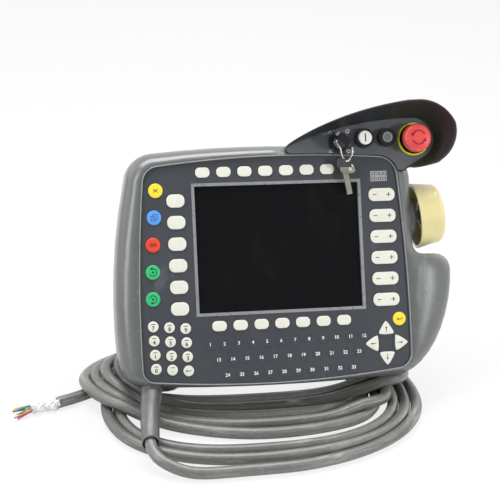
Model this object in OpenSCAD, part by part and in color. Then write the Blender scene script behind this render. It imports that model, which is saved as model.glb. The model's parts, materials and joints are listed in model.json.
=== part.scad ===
// Hand-held robot control pendant with display, membrane keys, guarded control
// panel and side joystick, leaning back inside its own coiled cable.
// Pendant pieces are drawn flat: x right, y up the face, z out of the face, with
// the origin at the foot of the face; posed() leans them into the stored frame.

/* [Pose] */
// Lean of the face back from upright, degrees
recline = 30; // [20:1:40]
// Sideways shift that centres the pendant on the stored origin
shift_x = 9.6; // [-30:0.1:40]
// Depth shift that centres the pendant on the stored origin
shift_y = 78.7; // [60:0.1:100]

/* [Face] */
// Middle line of the face, from the middle of the screen
face_x = -5; // [-12:0.5:4]
// Width of the key panel near its foot
face_low_w = 270; // [260:1:284]
// Width of the key panel near its head
face_high_w = 256; // [250:1:264]
// Height of the key panel at its corners
face_h = 212; // [208:1:218]
// Thickness of the printed key foil
foil_t = 0.7; // [0.5:0.1:1]
// Thickness of the dome sheet under the foil
dome_t = 0.4; // [0.2:0.1:0.6]
// Gap round the foil in its recess
foil_gap = 0.1; // [0.05:0.05:0.3]
// How far a key stands out of the foil
key_rise = 0.5; // [0.3:0.1:1]

/* [Screen] */
// Width of the visible screen
screen_w = 165.5; // [158:0.5:168]
// Height of the visible screen
screen_h = 124; // [118:0.5:126]
// Height of the screen's middle above the foot of the face
screen_y = 134; // [131:0.5:137]
// Width of the metal frame round the screen
bezel_w = 3; // [2:0.5:4]
// Depth of the screen glass below the face
glass_sink = 2.4; // [1.5:0.1:4]
// Thickness of the screen glass
glass_t = 2; // [1:0.5:3]

/* [Keys] */
// Pitch of the keys that line the screen
key_pitch = 21; // [19:0.1:22]
// Width of a status key
status_w = 18.5; // [14:0.5:20]
// Width of a two-way jog key
jog_w = 28; // [24:0.5:32]
// Height of status and jog keys
side_key_h = 14; // [10:0.5:16]
// Width of a menu key or softkey
menu_w = 15; // [10:0.5:18]
// Height of a menu key or softkey
menu_h = 11; // [8:0.5:13]
// Diameter of a numeric key
num_d = 11; // [8:0.5:12]
// Diameter of a coloured command key
round_d = 15; // [11:0.5:17]
// Diameter of a letter key
letter_d = 10; // [7:0.5:12]

/* [Housing] */
// Depth of the parting line behind the face
part_depth = 24; // [20:1:30]
// Thickness of the seal between the two halves
seal_t = 1.2; // [0.8:0.1:2]
// Depth of the back behind the face
back_depth = 50; // [46:1:56]
// Depth of the grips behind the face
grip_depth = 80; // [74:1:88]
// Height of the rim round the key panel
rim_rise = 1.8; // [1:0.1:3]
// Wall behind the key panel
face_wall = 3.5; // [2.5:0.5:5]
// Wall of the back
back_wall = 4; // [3:0.5:6]
// Width of the solid border inside the housings
border_w = 10; // [8:0.5:13]
// Radius of a housing screw
screw_r = 1.6; // [1.2:0.1:2]
// Radius of a housing screw's head
screw_head_r = 3.6; // [3:0.1:4.5]
// Bulge of the grip's palm rest beside the joystick
lobe_w = 62.5; // [58:0.5:68]
// Top of the palm rest
lobe_top = 122; // [116:1:123]

/* [Hood] */
// Radius of the control plate round the emergency stop
plate_r = 21.5; // [20:0.5:23]
// Thickness of the control plate
plate_t = 2.5; // [2:0.5:3.5]
// Height of the hood over the face
hood_h = 31; // [26:1:38]
// Outward flare of the hood
hood_flare = 16; // [10:1:20]
// Wall of the hood
hood_wall = 3; // [2:0.5:4]

/* [Controls] */
// Radius of the emergency stop's head
estop_r = 14.2; // [12:0.1:15]
// Travel of the emergency stop
estop_travel = 4; // [3:0.5:5]
// Radius of the key switch's bezel
key_bezel_r = 10.5; // [9.5:0.5:11]
// Radius of the lock cylinder
lock_r = 6.5; // [6:0.5:7]
// Radius of the push buttons' bezels
push_bezel_r = 10; // [9:0.5:11]
// Radius of the push buttons
push_r = 7; // [5:0.5:7.5]
// Travel of the push buttons
push_travel = 3; // [2:0.5:4]
// Radial running clearance of shafts and plungers
run_gap = 0.05; // [0.02:0.01:0.1]
// Radius of the key loop's round ends
ring_r = 5; // [4.5:0.5:6]
// Straight length of the key loop
ring_l = 13; // [10:0.5:16]
// Radius of the key ring's wire
ring_wire = 0.8; // [0.5:0.1:0.9]

/* [Joystick] */
// Radius of the joystick cap at its rim
cap_r = 33.3; // [30:0.1:35]
// Radius of the joystick cap at its end
cap_end_r = 29.5; // [26:0.1:31]
// Length of the joystick cap
cap_l = 28; // [26:0.5:32]
// Wall of the joystick cap
cap_wall = 3; // [2:0.5:4]
// Upward slant of the joystick's axis, degrees
joy_up = 5.4; // [0:0.2:9]
// Outward slant of the joystick's axis, degrees
joy_out = 5; // [0:0.5:8]
// Radius of the joystick's base
base_r = 19; // [17:0.5:20]

/* [Grips] */
// Width of an enabling switch
enable_w = 17; // [14:1:19]
// Length of an enabling switch
enable_l = 56; // [48:1:58]
// Travel of an enabling switch
enable_travel = 5; // [3:0.5:6]
// Radius of the start key on the back
start_r = 9; // [7:0.5:10]
// Travel of the start key
start_travel = 2.5; // [1.5:0.5:3]
// Play between a key and its frame
key_play = 0.15; // [0.1:0.05:0.3]

/* [Cable] */
// Diameter of the cable
cable_d = 11.5; // [10:0.5:12]
// Radius of the strain relief at the gland
boot_r = 10.3; // [9:0.1:10.5]

/* [Hidden] */
$fn = 48;

// ---- outlines -------------------------------------------------------------

function arc(c, r, a, b, n) = [for (i = [0:n]) let (t = a + (b - a) * i / n)
  [c.x + r * cos(t), c.y + r * sin(t)]];
function bow(p, q, sag, n) = [for (i = [1:n - 1]) let (u = i / n, d = q - p)
  p + u * d + 4 * u * (1 - u) * sag * [d.y, -d.x] / norm(d)];
function last(v) = v[len(v) - 1];
function round_rect(w, h, r, n = 5) = concat(
  arc([w / 2 - r, h / 2 - r], r, 0, 90, n), arc([r - w / 2, h / 2 - r], r, 90, 180, n),
  arc([r - w / 2, r - h / 2], r, 180, 270, n), arc([w / 2 - r, r - h / 2], r, 270, 360, n));

// Corners of the key panel: bottom left, bottom right, top right, top left
face_foot = 8;
face_l = face_x - face_low_w / 2;
face_r = face_x + face_low_w / 2;
c_bl = [face_l + 11, face_foot + 11];
c_br = [face_r - 14, face_foot + 15];
c_tr = [face_x + face_high_w / 2 - 19, face_foot + face_h - 19];
c_tl = [face_x - face_high_w / 2 + 16, face_foot + face_h - 20];

// Right side of the key panel, grown by d, at the height y
function face_side(y, d) = let (u = (y - c_br.y) / (c_tr.y - c_br.y))
  [c_br.x + 14 + d + u * (c_tr.x + 5 - c_br.x) + 10 * u * (1 - u), y];

// Key panel outline grown by d, and the widest outline of the housing, with
// the same number of points, so that the flank is drawn between the two
side_ys = [for (i = [1:5]) c_br.y + i * (lobe_top - 30 - c_br.y) / 5];
lobe_ys = [for (i = [1:5]) lobe_top - 26 + i * 4];
neck_ys = [for (i = [0:5]) lobe_top + 1 + i * 2];

function face_outline(d) = let (
    a = arc(c_bl, 11 + d, 184, 263, 6), b = arc(c_br, 14 + d, 277, 358, 5),
    e = arc(c_tr, 19 + d, 3, 86, 8), f = arc(c_tl, 16 + d, 94, 177, 6))
  concat(a, bow(last(a), b[0], 7, 8), b, [for (y = side_ys) face_side(y, d)],
    [for (y = lobe_ys) face_side(y, d)], [for (y = neck_ys) face_side(y, d)],
    [for (i = [1:5]) face_side(last(neck_ys) + i * (c_tr.y - last(neck_ys)) / 6, d)],
    e, bow(last(e), f[0], 5.5, 8), f, bow(last(f), a[0], 3, 6));

flank_l = 22;
lobe_c = [c_br.x + 3.5, lobe_top - 18];
lobe_corner = 16;
side_x = face_r + 12;

function wide_outline() = let (
    a = arc(c_bl - [7, -8.5], 25, 186, 264, 6),
    b = [for (i = [0:10]) let (t = 270 + 9 * i)
      [lobe_c.x + lobe_w * pow(cos(t), 1.1), lobe_c.y - (lobe_c.y - 1) * pow(-sin(t), 1.1)]],
    g = arc([lobe_c.x + lobe_w - lobe_corner, lobe_c.y + 2], lobe_corner, 12, 90, 4),
    h = arc([side_x + 10, lobe_top + 10], 10, 270, 180, 5),
    e = arc([side_x - 30, c_tr.y - 3], 30, 3, 84, 8),
    f = arc([c_tl.x - 3, c_tl.y + 3], 28, 96, 174, 6))
  concat(a, bow(last(a), b[0], 4, 8), b, g, h,
    [for (i = [1:5]) last(h) + i / 6 * (e[0] - last(h))],
    e, bow(last(e), f[0], 6, 8), f, bow(last(f), a[0], 7, 6));

face_0 = face_outline(0);
wide_1 = wide_outline();
function ring(k, z) = [for (i = [0:len(face_0) - 1])
  let (p = face_0[i] * (1 - k) + wide_1[i] * k) [p.x, p.y, z]];

// Solid between matching rings of points, each listed anticlockwise from above
module loft(rings) {
  n = len(rings[0]);
  m = len(rings);
  polyhedron(points = [for (r = rings, p = r) p], faces = concat(
    [[for (i = [0:n - 1]) i]], [[for (i = [n - 1:-1:0]) (m - 1) * n + i]],
    [for (j = [0:m - 2], i = [0:n - 1]) let (k = (i + 1) % n)
      [j * n + i, (j + 1) * n + i, (j + 1) * n + k, j * n + k]]));
}

module slab(pts, z0, z1) translate([0, 0, z0]) linear_extrude(z1 - z0) polygon(pts);
module at(p, z = 0) translate([p.x, p.y, z]) children();

// ---- frames ---------------------------------------------------------------

grip_foot = -4;
// How far the grip's outline draws in, and its depth there, out to its rounded back
grip_levels = [[2.5, part_depth + 3], [0, part_depth + 12], [0.3, grip_depth - 12],
  [0.6, grip_depth - 5], [1.8, grip_depth - 2.2], [4, grip_depth - 0.6], [7, grip_depth]];
// The left grip's foot stands on the table
edge_h = max([for (l = grip_levels) l[1] * sin(recline) - (grip_foot + l[0]) * cos(recline)]);

module posed() translate([-shift_x, -shift_y, edge_h]) rotate([90 - recline, 0, 0]) children();

joy_p = [148, 161, -28];
module joy() posed() translate(joy_p) rotate([0, 0, joy_up]) rotate([0, 90 - joy_out, 0]) children();
// Recess for the joystick's base and its ring, cut from the side of the housing
module joy_seat() translate(joy_p) rotate([0, 0, joy_up]) rotate([0, 90 - joy_out, 0]) {
  translate([0, 0, -13]) cylinder(r = base_r, h = 9);
  translate([0, 0, -5]) cylinder(r = base_r + 4.5, h = 40);
}

// ---- hood -----------------------------------------------------------------

estop_p = [face_r + 12, face_foot + face_h + 17];
on_p = [estop_p.x - 52, estop_p.y + 2];
off_p = [estop_p.x - 28.5, estop_p.y + 2.2];
lock_p = [estop_p.x - 78.2, estop_p.y - 1.5];
hood_tip = [estop_p.x - 127, estop_p.y - 7.5];
hood_foot = [estop_p.x - 14, estop_p.y - 27];
plate_z = 4;
seat_z = plate_z - plate_t;
seam_z = -part_depth + seal_t / 2;

// Leaf-shaped plate outline, from its foot, round the emergency stop, to its tip
leaf_a = arc(hood_foot, 4, 270, 318, 3);
leaf_b = arc(estop_p, plate_r, 318, 455, 9);
leaf_c = arc(hood_tip, 4, 112, 250, 5);
leaf = concat(leaf_a, bow(last(leaf_a), leaf_b[0], 0, 3), leaf_b,
  bow(last(leaf_b), leaf_c[0], 6, 14), leaf_c);
leaf_n = len(leaf);
leaf_open = len(leaf_a) + 2 + len(leaf_b) + 13;
function leaf_normal(i) = let (d = leaf[(i + 1) % leaf_n] - leaf[(i + leaf_n - 1) % leaf_n])
  [d.y, -d.x] / norm(d);
function leaf_w(i) = i < 2 || i > leaf_open ? 0 :
  let (a = (leaf[i].x - hood_tip.x + 4) / 120, b = (leaf[i].y - hood_foot.y) / 36)
  min(1, pow(max(a, 0.001), 0.7)) * min(1, leaf[i].x < hood_foot.x ? 1 : pow(max(b, 0.001), 0.6));
function leaf_ring(d, dw, z, zw) = [for (i = [0:leaf_n - 1])
  let (w = leaf_w(i), p = leaf[i] + (d + dw * w) * leaf_normal(i)) [p.x, p.y, z + zw * w]];
pod_rings = [leaf_ring(-0.5, 2, seam_z, 0), leaf_ring(1, 2, seam_z + 1.5, 0),
  leaf_ring(1, 2, -6, 0)];
module face_prism() slab(face_outline(2), -part_depth - 10, hood_h + 20);
// Room in the front housing for the hood's foot
module pod_blank() difference() {
  slab([for (p = leaf_ring(1, 2, 0, 0)) [p.x, p.y]], -part_depth - 6, hood_h);
  face_prism();
}
pod_floor = 3;

module hood_shell() color([0.14, 0.14, 0.15]) posed() difference() {
  loft(concat(pod_rings, [
    leaf_ring(1, 0.45 * hood_flare + hood_wall, 1, 8),
    leaf_ring(1, hood_flare + hood_wall - 1, plate_z, hood_h - plate_z - 1),
    leaf_ring(0.7, hood_flare + hood_wall - 1.6, plate_z, hood_h - plate_z),
    leaf_ring(0.4, hood_flare, plate_z, hood_h - plate_z),
    leaf_ring(0.3, 0.62 * hood_flare, plate_z, 0.5 * (hood_h - plate_z)),
    leaf_ring(0.2, 0.2 * hood_flare, plate_z, 0.12 * (hood_h - plate_z)),
    leaf_ring(0.1, 0, plate_z, 0), leaf_ring(0.1, 0, seat_z, 0),
    leaf_ring(-2.5, 0, seat_z, 0), leaf_ring(-3, 0, seam_z + pod_floor, 0)]));
  face_prism();
}

module control_plate() color([0.28, 0.30, 0.32]) posed() difference() {
  slab(leaf, seat_z, plate_z);
  slab(face_outline(2.1), seat_z - 1, plate_z + 1);
  at(estop_p) cylinder(r = barrel_r + 0.1, h = 20, center = true);
  for (p = [lock_p, on_p, off_p]) at(p) cylinder(r = barrel_r + 0.1, h = 20, center = true);
}

// ---- housings -------------------------------------------------------------

screw_ids = [7, 13, 32, 46, 58, 66];
screw_line = face_outline(-border_w / 2);
screw_end = -part_depth + 12;
module screws(r, z0, z1) for (i = screw_ids)
  translate([screw_line[i].x, screw_line[i].y, z0]) cylinder(r = r, h = z1 - z0, $fn = 24);
// Underside of a screw's head: 5 mm below the back, which is bevelled at its foot
function head_z(p) = 5 + max(-back_depth, -part_depth - 3 - (p.y - grip_foot) * tan(bevel_a));
module screen_box(grow, z0, z1) translate([0, screen_y, z0])
  linear_extrude(z1 - z0) square([screen_w + 2 * grow, screen_h + 2 * grow], center = true);

gland_p = [face_l + 9, 0, -12];
gland_r = 9;
module gland_hole(r) translate(gland_p) rotate([90, 0, 0])
  cylinder(r = r, h = 60, center = true);

module front_housing() color([0.45, 0.46, 0.46]) posed() difference() {
  loft(concat([ring(0.995, -part_depth + seal_t / 2), ring(1, -part_depth + seal_t / 2 + 1)],
    [for (a = [0:13:78]) ring(cos(a), -18 + (18 + rim_rise) * sin(a))], [ring(0, rim_rise)]));
  slab(face_outline(foil_gap), -foil_t - dome_t, 10);
  slab(face_outline(-border_w), -part_depth - 1, -foil_t - dome_t - face_wall);
  screen_box(bezel_w, -10, 10);
  pod_blank();
  joy_seat();
  gland_hole(gland_r);
  screws(screw_r, -part_depth - 1, screw_end + 1);
}

module grip(w, h, c) translate(c) rotate([0, 180, 0]) loft([for (l = grip_levels)
  [for (p = round_rect(w - 2 * l[0], h - 2 * l[0], 22 - l[0], 5)) [p.x, p.y, l[1]]]]);
// The back is bevelled at its foot so that the cable passes under it
bevel_run = 46;
bevel_a = atan2(back_depth - part_depth - 3, bevel_run);
module foot_bevel(wall) translate([0, grip_foot, -part_depth - 3]) rotate([-bevel_a, 0, 0])
  translate([-300, -100, -60 + wall]) cube([600, 100 + norm([bevel_run, back_depth]) + 40, 60]);
module back_pocket() difference() {
  slab(face_outline(-border_w), -back_depth + back_wall, 0);
  foot_bevel(back_wall);
}
grip_l = [face_l + 25, 93 + grip_foot, 0];
grip_l_w = 50;
grip_l_h = 186;
grip_r = [lobe_c.x - 21, 73, 0];
grip_r_w = 54;
grip_r_h = 86;
enable_ps = [[grip_l.x, 94], [grip_r.x - 12.5, grip_r.y], [grip_r.x + 12.5, grip_r.y]];
start_p = [grip_l.x, 146];
pad_ps = [[grip_l.x, 14], [grip_l.x, 166]];
pocket = 18;
pad_r = 6;
pad_t = 1.2;

module rear_housing() color([0.42, 0.43, 0.43]) posed() difference() {
  union() {
    difference() {
      loft([ring(0.45, -back_depth), ring(0.72, -back_depth + 1.2), ring(0.88, -back_depth + 5),
        ring(0.96, -back_depth + 10), ring(1, -back_depth + 17),
        ring(0.995, -part_depth - seal_t / 2)]);
      foot_bevel(0);
    }
    grip(grip_l_w, grip_l_h, grip_l);
    grip(grip_r_w, grip_r_h, grip_r);
  }
  back_pocket();
  joy_seat();
  for (p = enable_ps) at(p) slab(round_rect(enable_w + 4, enable_l + 4, 8), -grip_depth - 1,
    -grip_depth + pocket);
  at(start_p, -grip_depth - 1) cylinder(r = start_r + 2, h = 11);
  for (p = pad_ps) at(p, -grip_depth - 1) cylinder(r = pad_r, h = 1 + pad_t);
  screws(screw_r + 0.6, -back_depth - 1, 0);
  for (i = screw_ids) at(screw_line[i], -grip_depth - 1)
    cylinder(r = screw_head_r + 0.4, h = head_z(screw_line[i]) + grip_depth + 1, $fn = 24);
}

module housing_seal() color([0.12, 0.12, 0.12]) posed() difference() {
  slab([for (p = ring(0.97, 0)) [p.x, p.y]], -part_depth - seal_t / 2, -part_depth + seal_t / 2);
  slab(face_outline(-border_w), -part_depth - 2, -part_depth + 2);
  joy_seat();
  screws(screw_r + 0.6, -part_depth - 2, -part_depth + 2);
}

module housing_screws() color([0.6, 0.6, 0.62]) posed() for (i = screw_ids) {
  z = head_z(screw_line[i]);
  at(screw_line[i], z - 3) cylinder(r = screw_head_r, h = 3, $fn = 24);
  at(screw_line[i], z) cylinder(r = screw_r, h = screw_end - z, $fn = 24);
}

// ---- key panel ------------------------------------------------------------

module barrel_key(w, h) slab(round_rect(w, h, 0.42 * h, 4), -0.1, key_rise);
module round_key(d) translate([0, 0, -0.1]) cylinder(d = d, h = key_rise + 0.1, $fn = 32);
status_x = -screen_w / 2 - 19;
jog_x = screen_w / 2 + 24.5;
first_y = screen_y + 2.5 * key_pitch - 4;
menu_y = screen_y + screen_h / 2 + 13.5;
soft_y = screen_y - screen_h / 2 - 13;
num_p = [status_x - 27, soft_y + 2.5];
arrow_p = [jog_x - 2.3, 34];
arrow_r = 13.6;
round_ps = [[-121, 193], [-123.5, 166.8], [-125.6, 140.4], [-126.8, 114], [-127.8, 87.9],
  [arrow_p.x + 14.7, arrow_p.y + 23.6]];

module keypad_overlay() color([0.32, 0.33, 0.35]) posed() {
  difference() {
    slab(face_outline(0), -foil_t, 0);
    screen_box(bezel_w, -5, 5);
  }
  for (i = [0:5]) {
    at([status_x, first_y - i * key_pitch]) barrel_key(status_w, side_key_h);
    at([jog_x, first_y - i * key_pitch]) barrel_key(jog_w, side_key_h);
  }
  for (i = [0:7]) at([-74 + i * key_pitch, menu_y]) barrel_key(menu_w, menu_h);
  for (i = [0:6]) at([-63.6 + i * key_pitch, soft_y]) barrel_key(menu_w, menu_h);
  for (i = [0:2], j = [0:3]) at(num_p + [15.8 * i + 0.4 * j, -13.7 * j - 1.6 * i]) round_key(num_d);
  for (p = round_ps) at(p) round_key(round_d - (p == round_ps[5] ? 2.5 : 0));
  for (i = [0:3]) at(arrow_p + arrow_r * [cos(90 * i), sin(90 * i)]) rotate([0, 0, 90 * i])
    slab([[-6, -6.5], [-5.5, -7.2], [-4, -7.2], [2, -4.2], [7, -1], [7.4, 0], [7, 1], [2, 4.2],
      [-4, 7.2], [-5.5, 7.2], [-6, 6.5], [-7.2, 0]], -0.1, key_rise);
  for (r = [0:2], i = [0:11 - r])
    at([-73.5 + 8 * r + 14.2 * i, 41.5 - 15.2 * r + 0.1 * i])
      translate([0, 0, -0.1]) cylinder(d = letter_d, h = 0.3, $fn = 24);
}

module dome_sheet() color([0.75, 0.7, 0.5]) posed() difference() {
  slab(face_outline(0), -foil_t - dome_t, -foil_t);
  screen_box(bezel_w, -5, 5);
}

// ---- display and boards ---------------------------------------------------

panel_top = -foil_t - dome_t - face_wall;

module display_bezel() color([0.62, 0.64, 0.65]) posed() difference() {
  screen_box(bezel_w, panel_top, 0.3);
  screen_box(0, panel_top - 1, 1);
}

module display_window() color([0.06, 0.06, 0.07]) posed()
  screen_box(0, -glass_sink - glass_t, -glass_sink);

lcd_z = panel_top - 11;
module lcd_module() color([0.55, 0.56, 0.58]) posed() {
  screen_box(5, lcd_z, panel_top);
  screen_box(-1.5, panel_top, -glass_sink - glass_t);
  for (x = [-1, 1], y = [-1, 1]) translate([x * (screen_w / 2 + 9), screen_y + y * 45,
    lcd_z / 2 + panel_top / 2]) cube([10, 12, panel_top - lcd_z], center = true);
}

board_z = -part_depth - 6;
board_w = 200;
board_h = 140;
board_t = 1.6;
post_ps = [for (x = [-1, 1], y = [-1, 0, 1]) [x * (board_w / 2 - 6), screen_y - 14 + y * 62]];
module main_board() color([0.10, 0.35, 0.18]) posed() {
  difference() {
    translate([0, screen_y - 14, board_z]) linear_extrude(board_t)
      square([board_w, board_h], center = true);
    for (p = post_ps) at(p, board_z - 1) cylinder(r = 1.6, h = 5, $fn = 24);
  }
  for (c = [[-20, 140, 32, 32, 3], [35, 140, 24, 24, 2.5], [-66, 150, 18, 40, 4],
    [66, 110, 30, 14, 6], [-30, 85, 60, 9, 7], [45, 80, 40, 9, 7], [70, 160, 16, 20, 3]])
    translate([c[0], c[1], board_z + board_t + c[4] / 2]) cube([c[2], c[3], c[4]], center = true);
}

module board_standoffs() color([0.75, 0.75, 0.72]) posed() for (p = post_ps) {
  at(p, -back_depth + back_wall) cylinder(r = 3.2, h = board_z + back_depth - back_wall, $fn = 6);
  at(p, board_z) cylinder(r = 1.6, h = board_t + 0.2, $fn = 24);
  at(p, board_z + board_t) cylinder(r = 2.8, h = 1.8, $fn = 24);
}

module interface_board() color([0.10, 0.33, 0.20]) posed() {
  translate([0, soft_y - 26, board_z]) linear_extrude(board_t) square([170, 26], center = true);
  for (x = [-60, -20, 20, 60]) {
    translate([x, soft_y - 24, board_z + board_t + 4]) cube([26, 10, 8], center = true);
    translate([x + 18, soft_y - 24, (board_z + panel_top) / 2])
      cube([6, 6, panel_top - board_z], center = true);
  }
}

// ---- control plate pieces -------------------------------------------------

barrel_r = 8;
block_z = seam_z + pod_floor;
barrel_z = -12;

module estop_collar() color([0.92, 0.85, 0.1]) posed() at(estop_p, plate_z) difference() {
  cylinder(r = estop_r + 2.3, h = 2.5, $fn = 64);
  translate([0, 0, -1]) cylinder(r = 10.5, h = 5);
}

stem_r = 4.5;
module estop_body() color([0.12, 0.12, 0.12]) posed() at(estop_p) difference() {
  union() {
    translate([0, 0, barrel_z]) cylinder(r = barrel_r, h = plate_z - barrel_z);
    translate([0, 0, plate_z]) cylinder(r = 10.5, h = 3.2);
    translate([0, 0, seat_z - 4]) cylinder(r = barrel_r + 2.5, h = 4, $fn = 6);
  }
  translate([0, 0, barrel_z + 3]) cylinder(r = stem_r + run_gap, h = 40);
}

cap_z = plate_z + 2.5 + estop_travel + 0.7;
module estop_plunger() color([0.1, 0.1, 0.1]) posed() at(estop_p) {
  translate([0, 0, barrel_z + 3 + estop_travel + 0.5])
    cylinder(r = stem_r, h = cap_z - barrel_z - 3 - estop_travel - 0.5 + 1);
  translate([0, 0, cap_z]) cylinder(r = 10, h = 1);
  translate([0, 0, cap_z + 1]) cylinder(r = 3.5, h = 7);
}

module estop_cap() color([0.85, 0.22, 0.25]) posed() at(estop_p, cap_z) rotate_extrude($fn = 72)
  polygon(concat([[3.5 + run_gap, 1 + run_gap], [10 + run_gap, 1 + run_gap],
    [10 + run_gap, 0], [estop_r - 1.4, 0], [estop_r - 0.4, 0.5], [estop_r, 1.6],
    [estop_r, 6]], [for (a = [10:10:80]) [(estop_r - 4) + 4 * cos(a), 6 + 4 * sin(a)]],
    [[6, 10.9], [0, 11.2], [0, 8.2], [3.5 + run_gap, 8.2]]));

module button_body(p, r, h, bore) posed() at(p) difference() {
  union() {
    translate([0, 0, barrel_z]) cylinder(r = barrel_r, h = plate_z - barrel_z);
    translate([0, 0, plate_z]) cylinder(r1 = r, r2 = r - 0.8, h = h);
    translate([0, 0, seat_z - 4]) cylinder(r = barrel_r + 2, h = 4, $fn = 6);
  }
  translate([0, 0, barrel_z + 3]) cylinder(r = bore, h = 40);
}

lock_h = 5;
lock_turn = -45;
neck_r = 2.6;
module lock_body() color([0.12, 0.12, 0.13]) button_body(lock_p, key_bezel_r, lock_h, lock_r + run_gap);
module lock_cylinder() color([0.35, 0.35, 0.36]) posed() at(lock_p) rotate([0, 0, lock_turn])
  difference() {
    translate([0, 0, barrel_z + 3.1]) cylinder(r = lock_r, h = lock_h + plate_z - barrel_z - 2.6);
    translate([0, 0, 7]) cube([8.6, 2.4, 24], center = true);
  }

// The key stands in the lock; a ring is looped over its round neck
bow_z = plate_z + lock_h + 6.5;
module mode_key() color([0.08, 0.08, 0.08]) posed() at(lock_p) rotate([0, 0, lock_turn]) {
  translate([0, 0, 4]) cube([8.4, 2.2, 2 * (plate_z + lock_h - 3)], center = true);
  translate([0, 0, plate_z + lock_h + 0.5]) cylinder(r = neck_r, h = bow_z - plate_z - lock_h + 0.5);
  translate([0, 2.3, bow_z]) rotate([90, 0, 0]) linear_extrude(4.6) difference() {
    polygon(concat([[-4.5, 0], [4.5, 0]], arc([6, 7.5], 5, -50, 90, 6),
      arc([-6, 7.5], 5, 90, 230, 6)));
    translate([6.5, 7.5]) circle(r = 2);
  }
}

// The wire loop hangs on the neck and the spare key's eye on the loop's low end
hang = -64;
loop_tilt = 6;
loop_z = plate_z + lock_h + 3.4;
loop_in = ring_r - ring_wire - neck_r - 0.2;
eye_r = 2.6;
eye_x = loop_in + ring_l + ring_r + eye_r - 2 * ring_wire - 0.3;
module hung() posed() at(lock_p, loop_z) rotate([0, loop_tilt * cos(hang), hang])
  rotate([0, loop_tilt, 0]) children();
module key_ring() color([0.8, 0.8, 0.82]) hung() {
  translate([loop_in, 0, 0]) rotate([0, 0, 90]) rotate_extrude(angle = 180, $fn = 48)
    translate([ring_r, 0]) circle(r = ring_wire, $fn = 16);
  translate([loop_in + ring_l, 0, 0]) rotate([0, 0, -90]) rotate_extrude(angle = 180, $fn = 48)
    translate([ring_r, 0]) circle(r = ring_wire, $fn = 16);
  for (s = [-1, 1]) translate([loop_in, s * ring_r, 0]) rotate([0, 90, 0])
    cylinder(r = ring_wire, h = ring_l, $fn = 16);
}

spare_l = 21;
module spare_key() color([0.6, 0.6, 0.62]) hung() translate([eye_x, 0, 0]) rotate([0, 0, -14]) {
  rotate([90, 0, 0]) rotate_extrude($fn = 32) translate([eye_r, 0]) circle(r = 0.75, $fn = 16);
  translate([0, 0, -1.1]) linear_extrude(2.2) difference() {
    polygon([[eye_r + 0.3, -2.2], [8, -3.4], [8, -9], [14.5, -8], [15.5, -2.4], [15 + spare_l, -2.4],
      [16 + spare_l, -1.4], [16 + spare_l, 2], [15.5, 2.4], [14.5, 7], [8, 8], [8, 3.4],
      [eye_r + 0.3, 2.2]]);
    translate([10.5, -5.5]) circle(r = 1.2, $fn = 24);
  }
}

on_h = 7;
off_h = 6.4;
button_z = barrel_z + 3 + push_travel + 1.5;
module push_button(p, top) posed() at(p, button_z) {
  cylinder(r = push_r, h = top - button_z - 0.8);
  translate([0, 0, top - button_z - 0.8]) cylinder(r1 = push_r, r2 = push_r - 0.8, h = 0.8);
}
module drives_on_body() color([0.1, 0.1, 0.1]) button_body(on_p, push_bezel_r, on_h, push_r + run_gap);
module drives_on_button() color([0.9, 0.9, 0.87]) push_button(on_p, plate_z + on_h + 0.6);
module drives_off_body() color([0.1, 0.1, 0.1])
  button_body(off_p, push_bezel_r - 0.4, off_h, push_r + run_gap);
module drives_off_button() color([0.2, 0.2, 0.21]) push_button(off_p, plate_z + off_h - 0.4);

module contact_blocks() color([0.7, 0.68, 0.6]) posed() for (p = [estop_p, lock_p, on_p, off_p])
  translate([p.x, p.y, (block_z + barrel_z) / 2])
    cube([17, 13, barrel_z - block_z], center = true);

// ---- joystick, along its own axis -----------------------------------------

pivot = 13;
pin_r = 2;
shaft_r = 5;
module joystick_base() color([0.12, 0.12, 0.12]) joy() difference() {
  union() {
    translate([0, 0, -13]) cylinder(r = base_r, h = 8);
    translate([0, 0, -5]) cylinder(r = 13, h = 6);
  }
  translate([0, 0, -11]) cylinder(r = shaft_r + run_gap, h = 30);
}
module joystick_ring() color([0.75, 0.62, 0.2]) joy() translate([0, 0, -5]) difference() {
  cylinder(r = base_r + 4, h = 2);
  translate([0, 0, -1]) cylinder(r = 13, h = 4);
}
module joystick_carriage() color([0.6, 0.6, 0.62]) joy() difference() {
  union() {
    translate([0, 0, -9]) cylinder(r = shaft_r, h = 14);
    translate([0, 0, 4]) intersection() {
      cylinder(r = 21, h = 13);
      union() {
        translate([-21, -6, 0]) cube([42, 12, 2]);
        for (s = [-1, 1]) translate([s * 19.5 - 1.5, -6, 0]) cube([3, 12, 13]);
      }
    }
  }
  translate([0, 0, pivot]) rotate([0, 90, 0]) cylinder(r = pin_r + run_gap, h = 60, center = true);
}
module joystick_gimbal() color([0.55, 0.55, 0.58]) joy() translate([0, 0, pivot]) difference() {
  union() {
    translate([0, 0, -4]) cylinder(r = 16, h = 8);
    rotate([0, 90, 0]) cylinder(r = pin_r, h = 41.4, center = true);
  }
  cylinder(r = 12, h = 20, center = true);
  rotate([90, 0, 0]) cylinder(r = pin_r + run_gap, h = 60, center = true);
}
hub_top = cap_l - cap_wall - 0.6;
module joystick_hub() color([0.6, 0.6, 0.6]) joy() {
  translate([0, 0, pivot - 4]) cylinder(r = 7, h = 8);
  translate([0, 0, pivot]) rotate([90, 0, 0]) cylinder(r = pin_r, h = 31.4, center = true);
  translate([0, 0, pivot]) cylinder(r = 4, h = hub_top - pivot);
}
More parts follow.
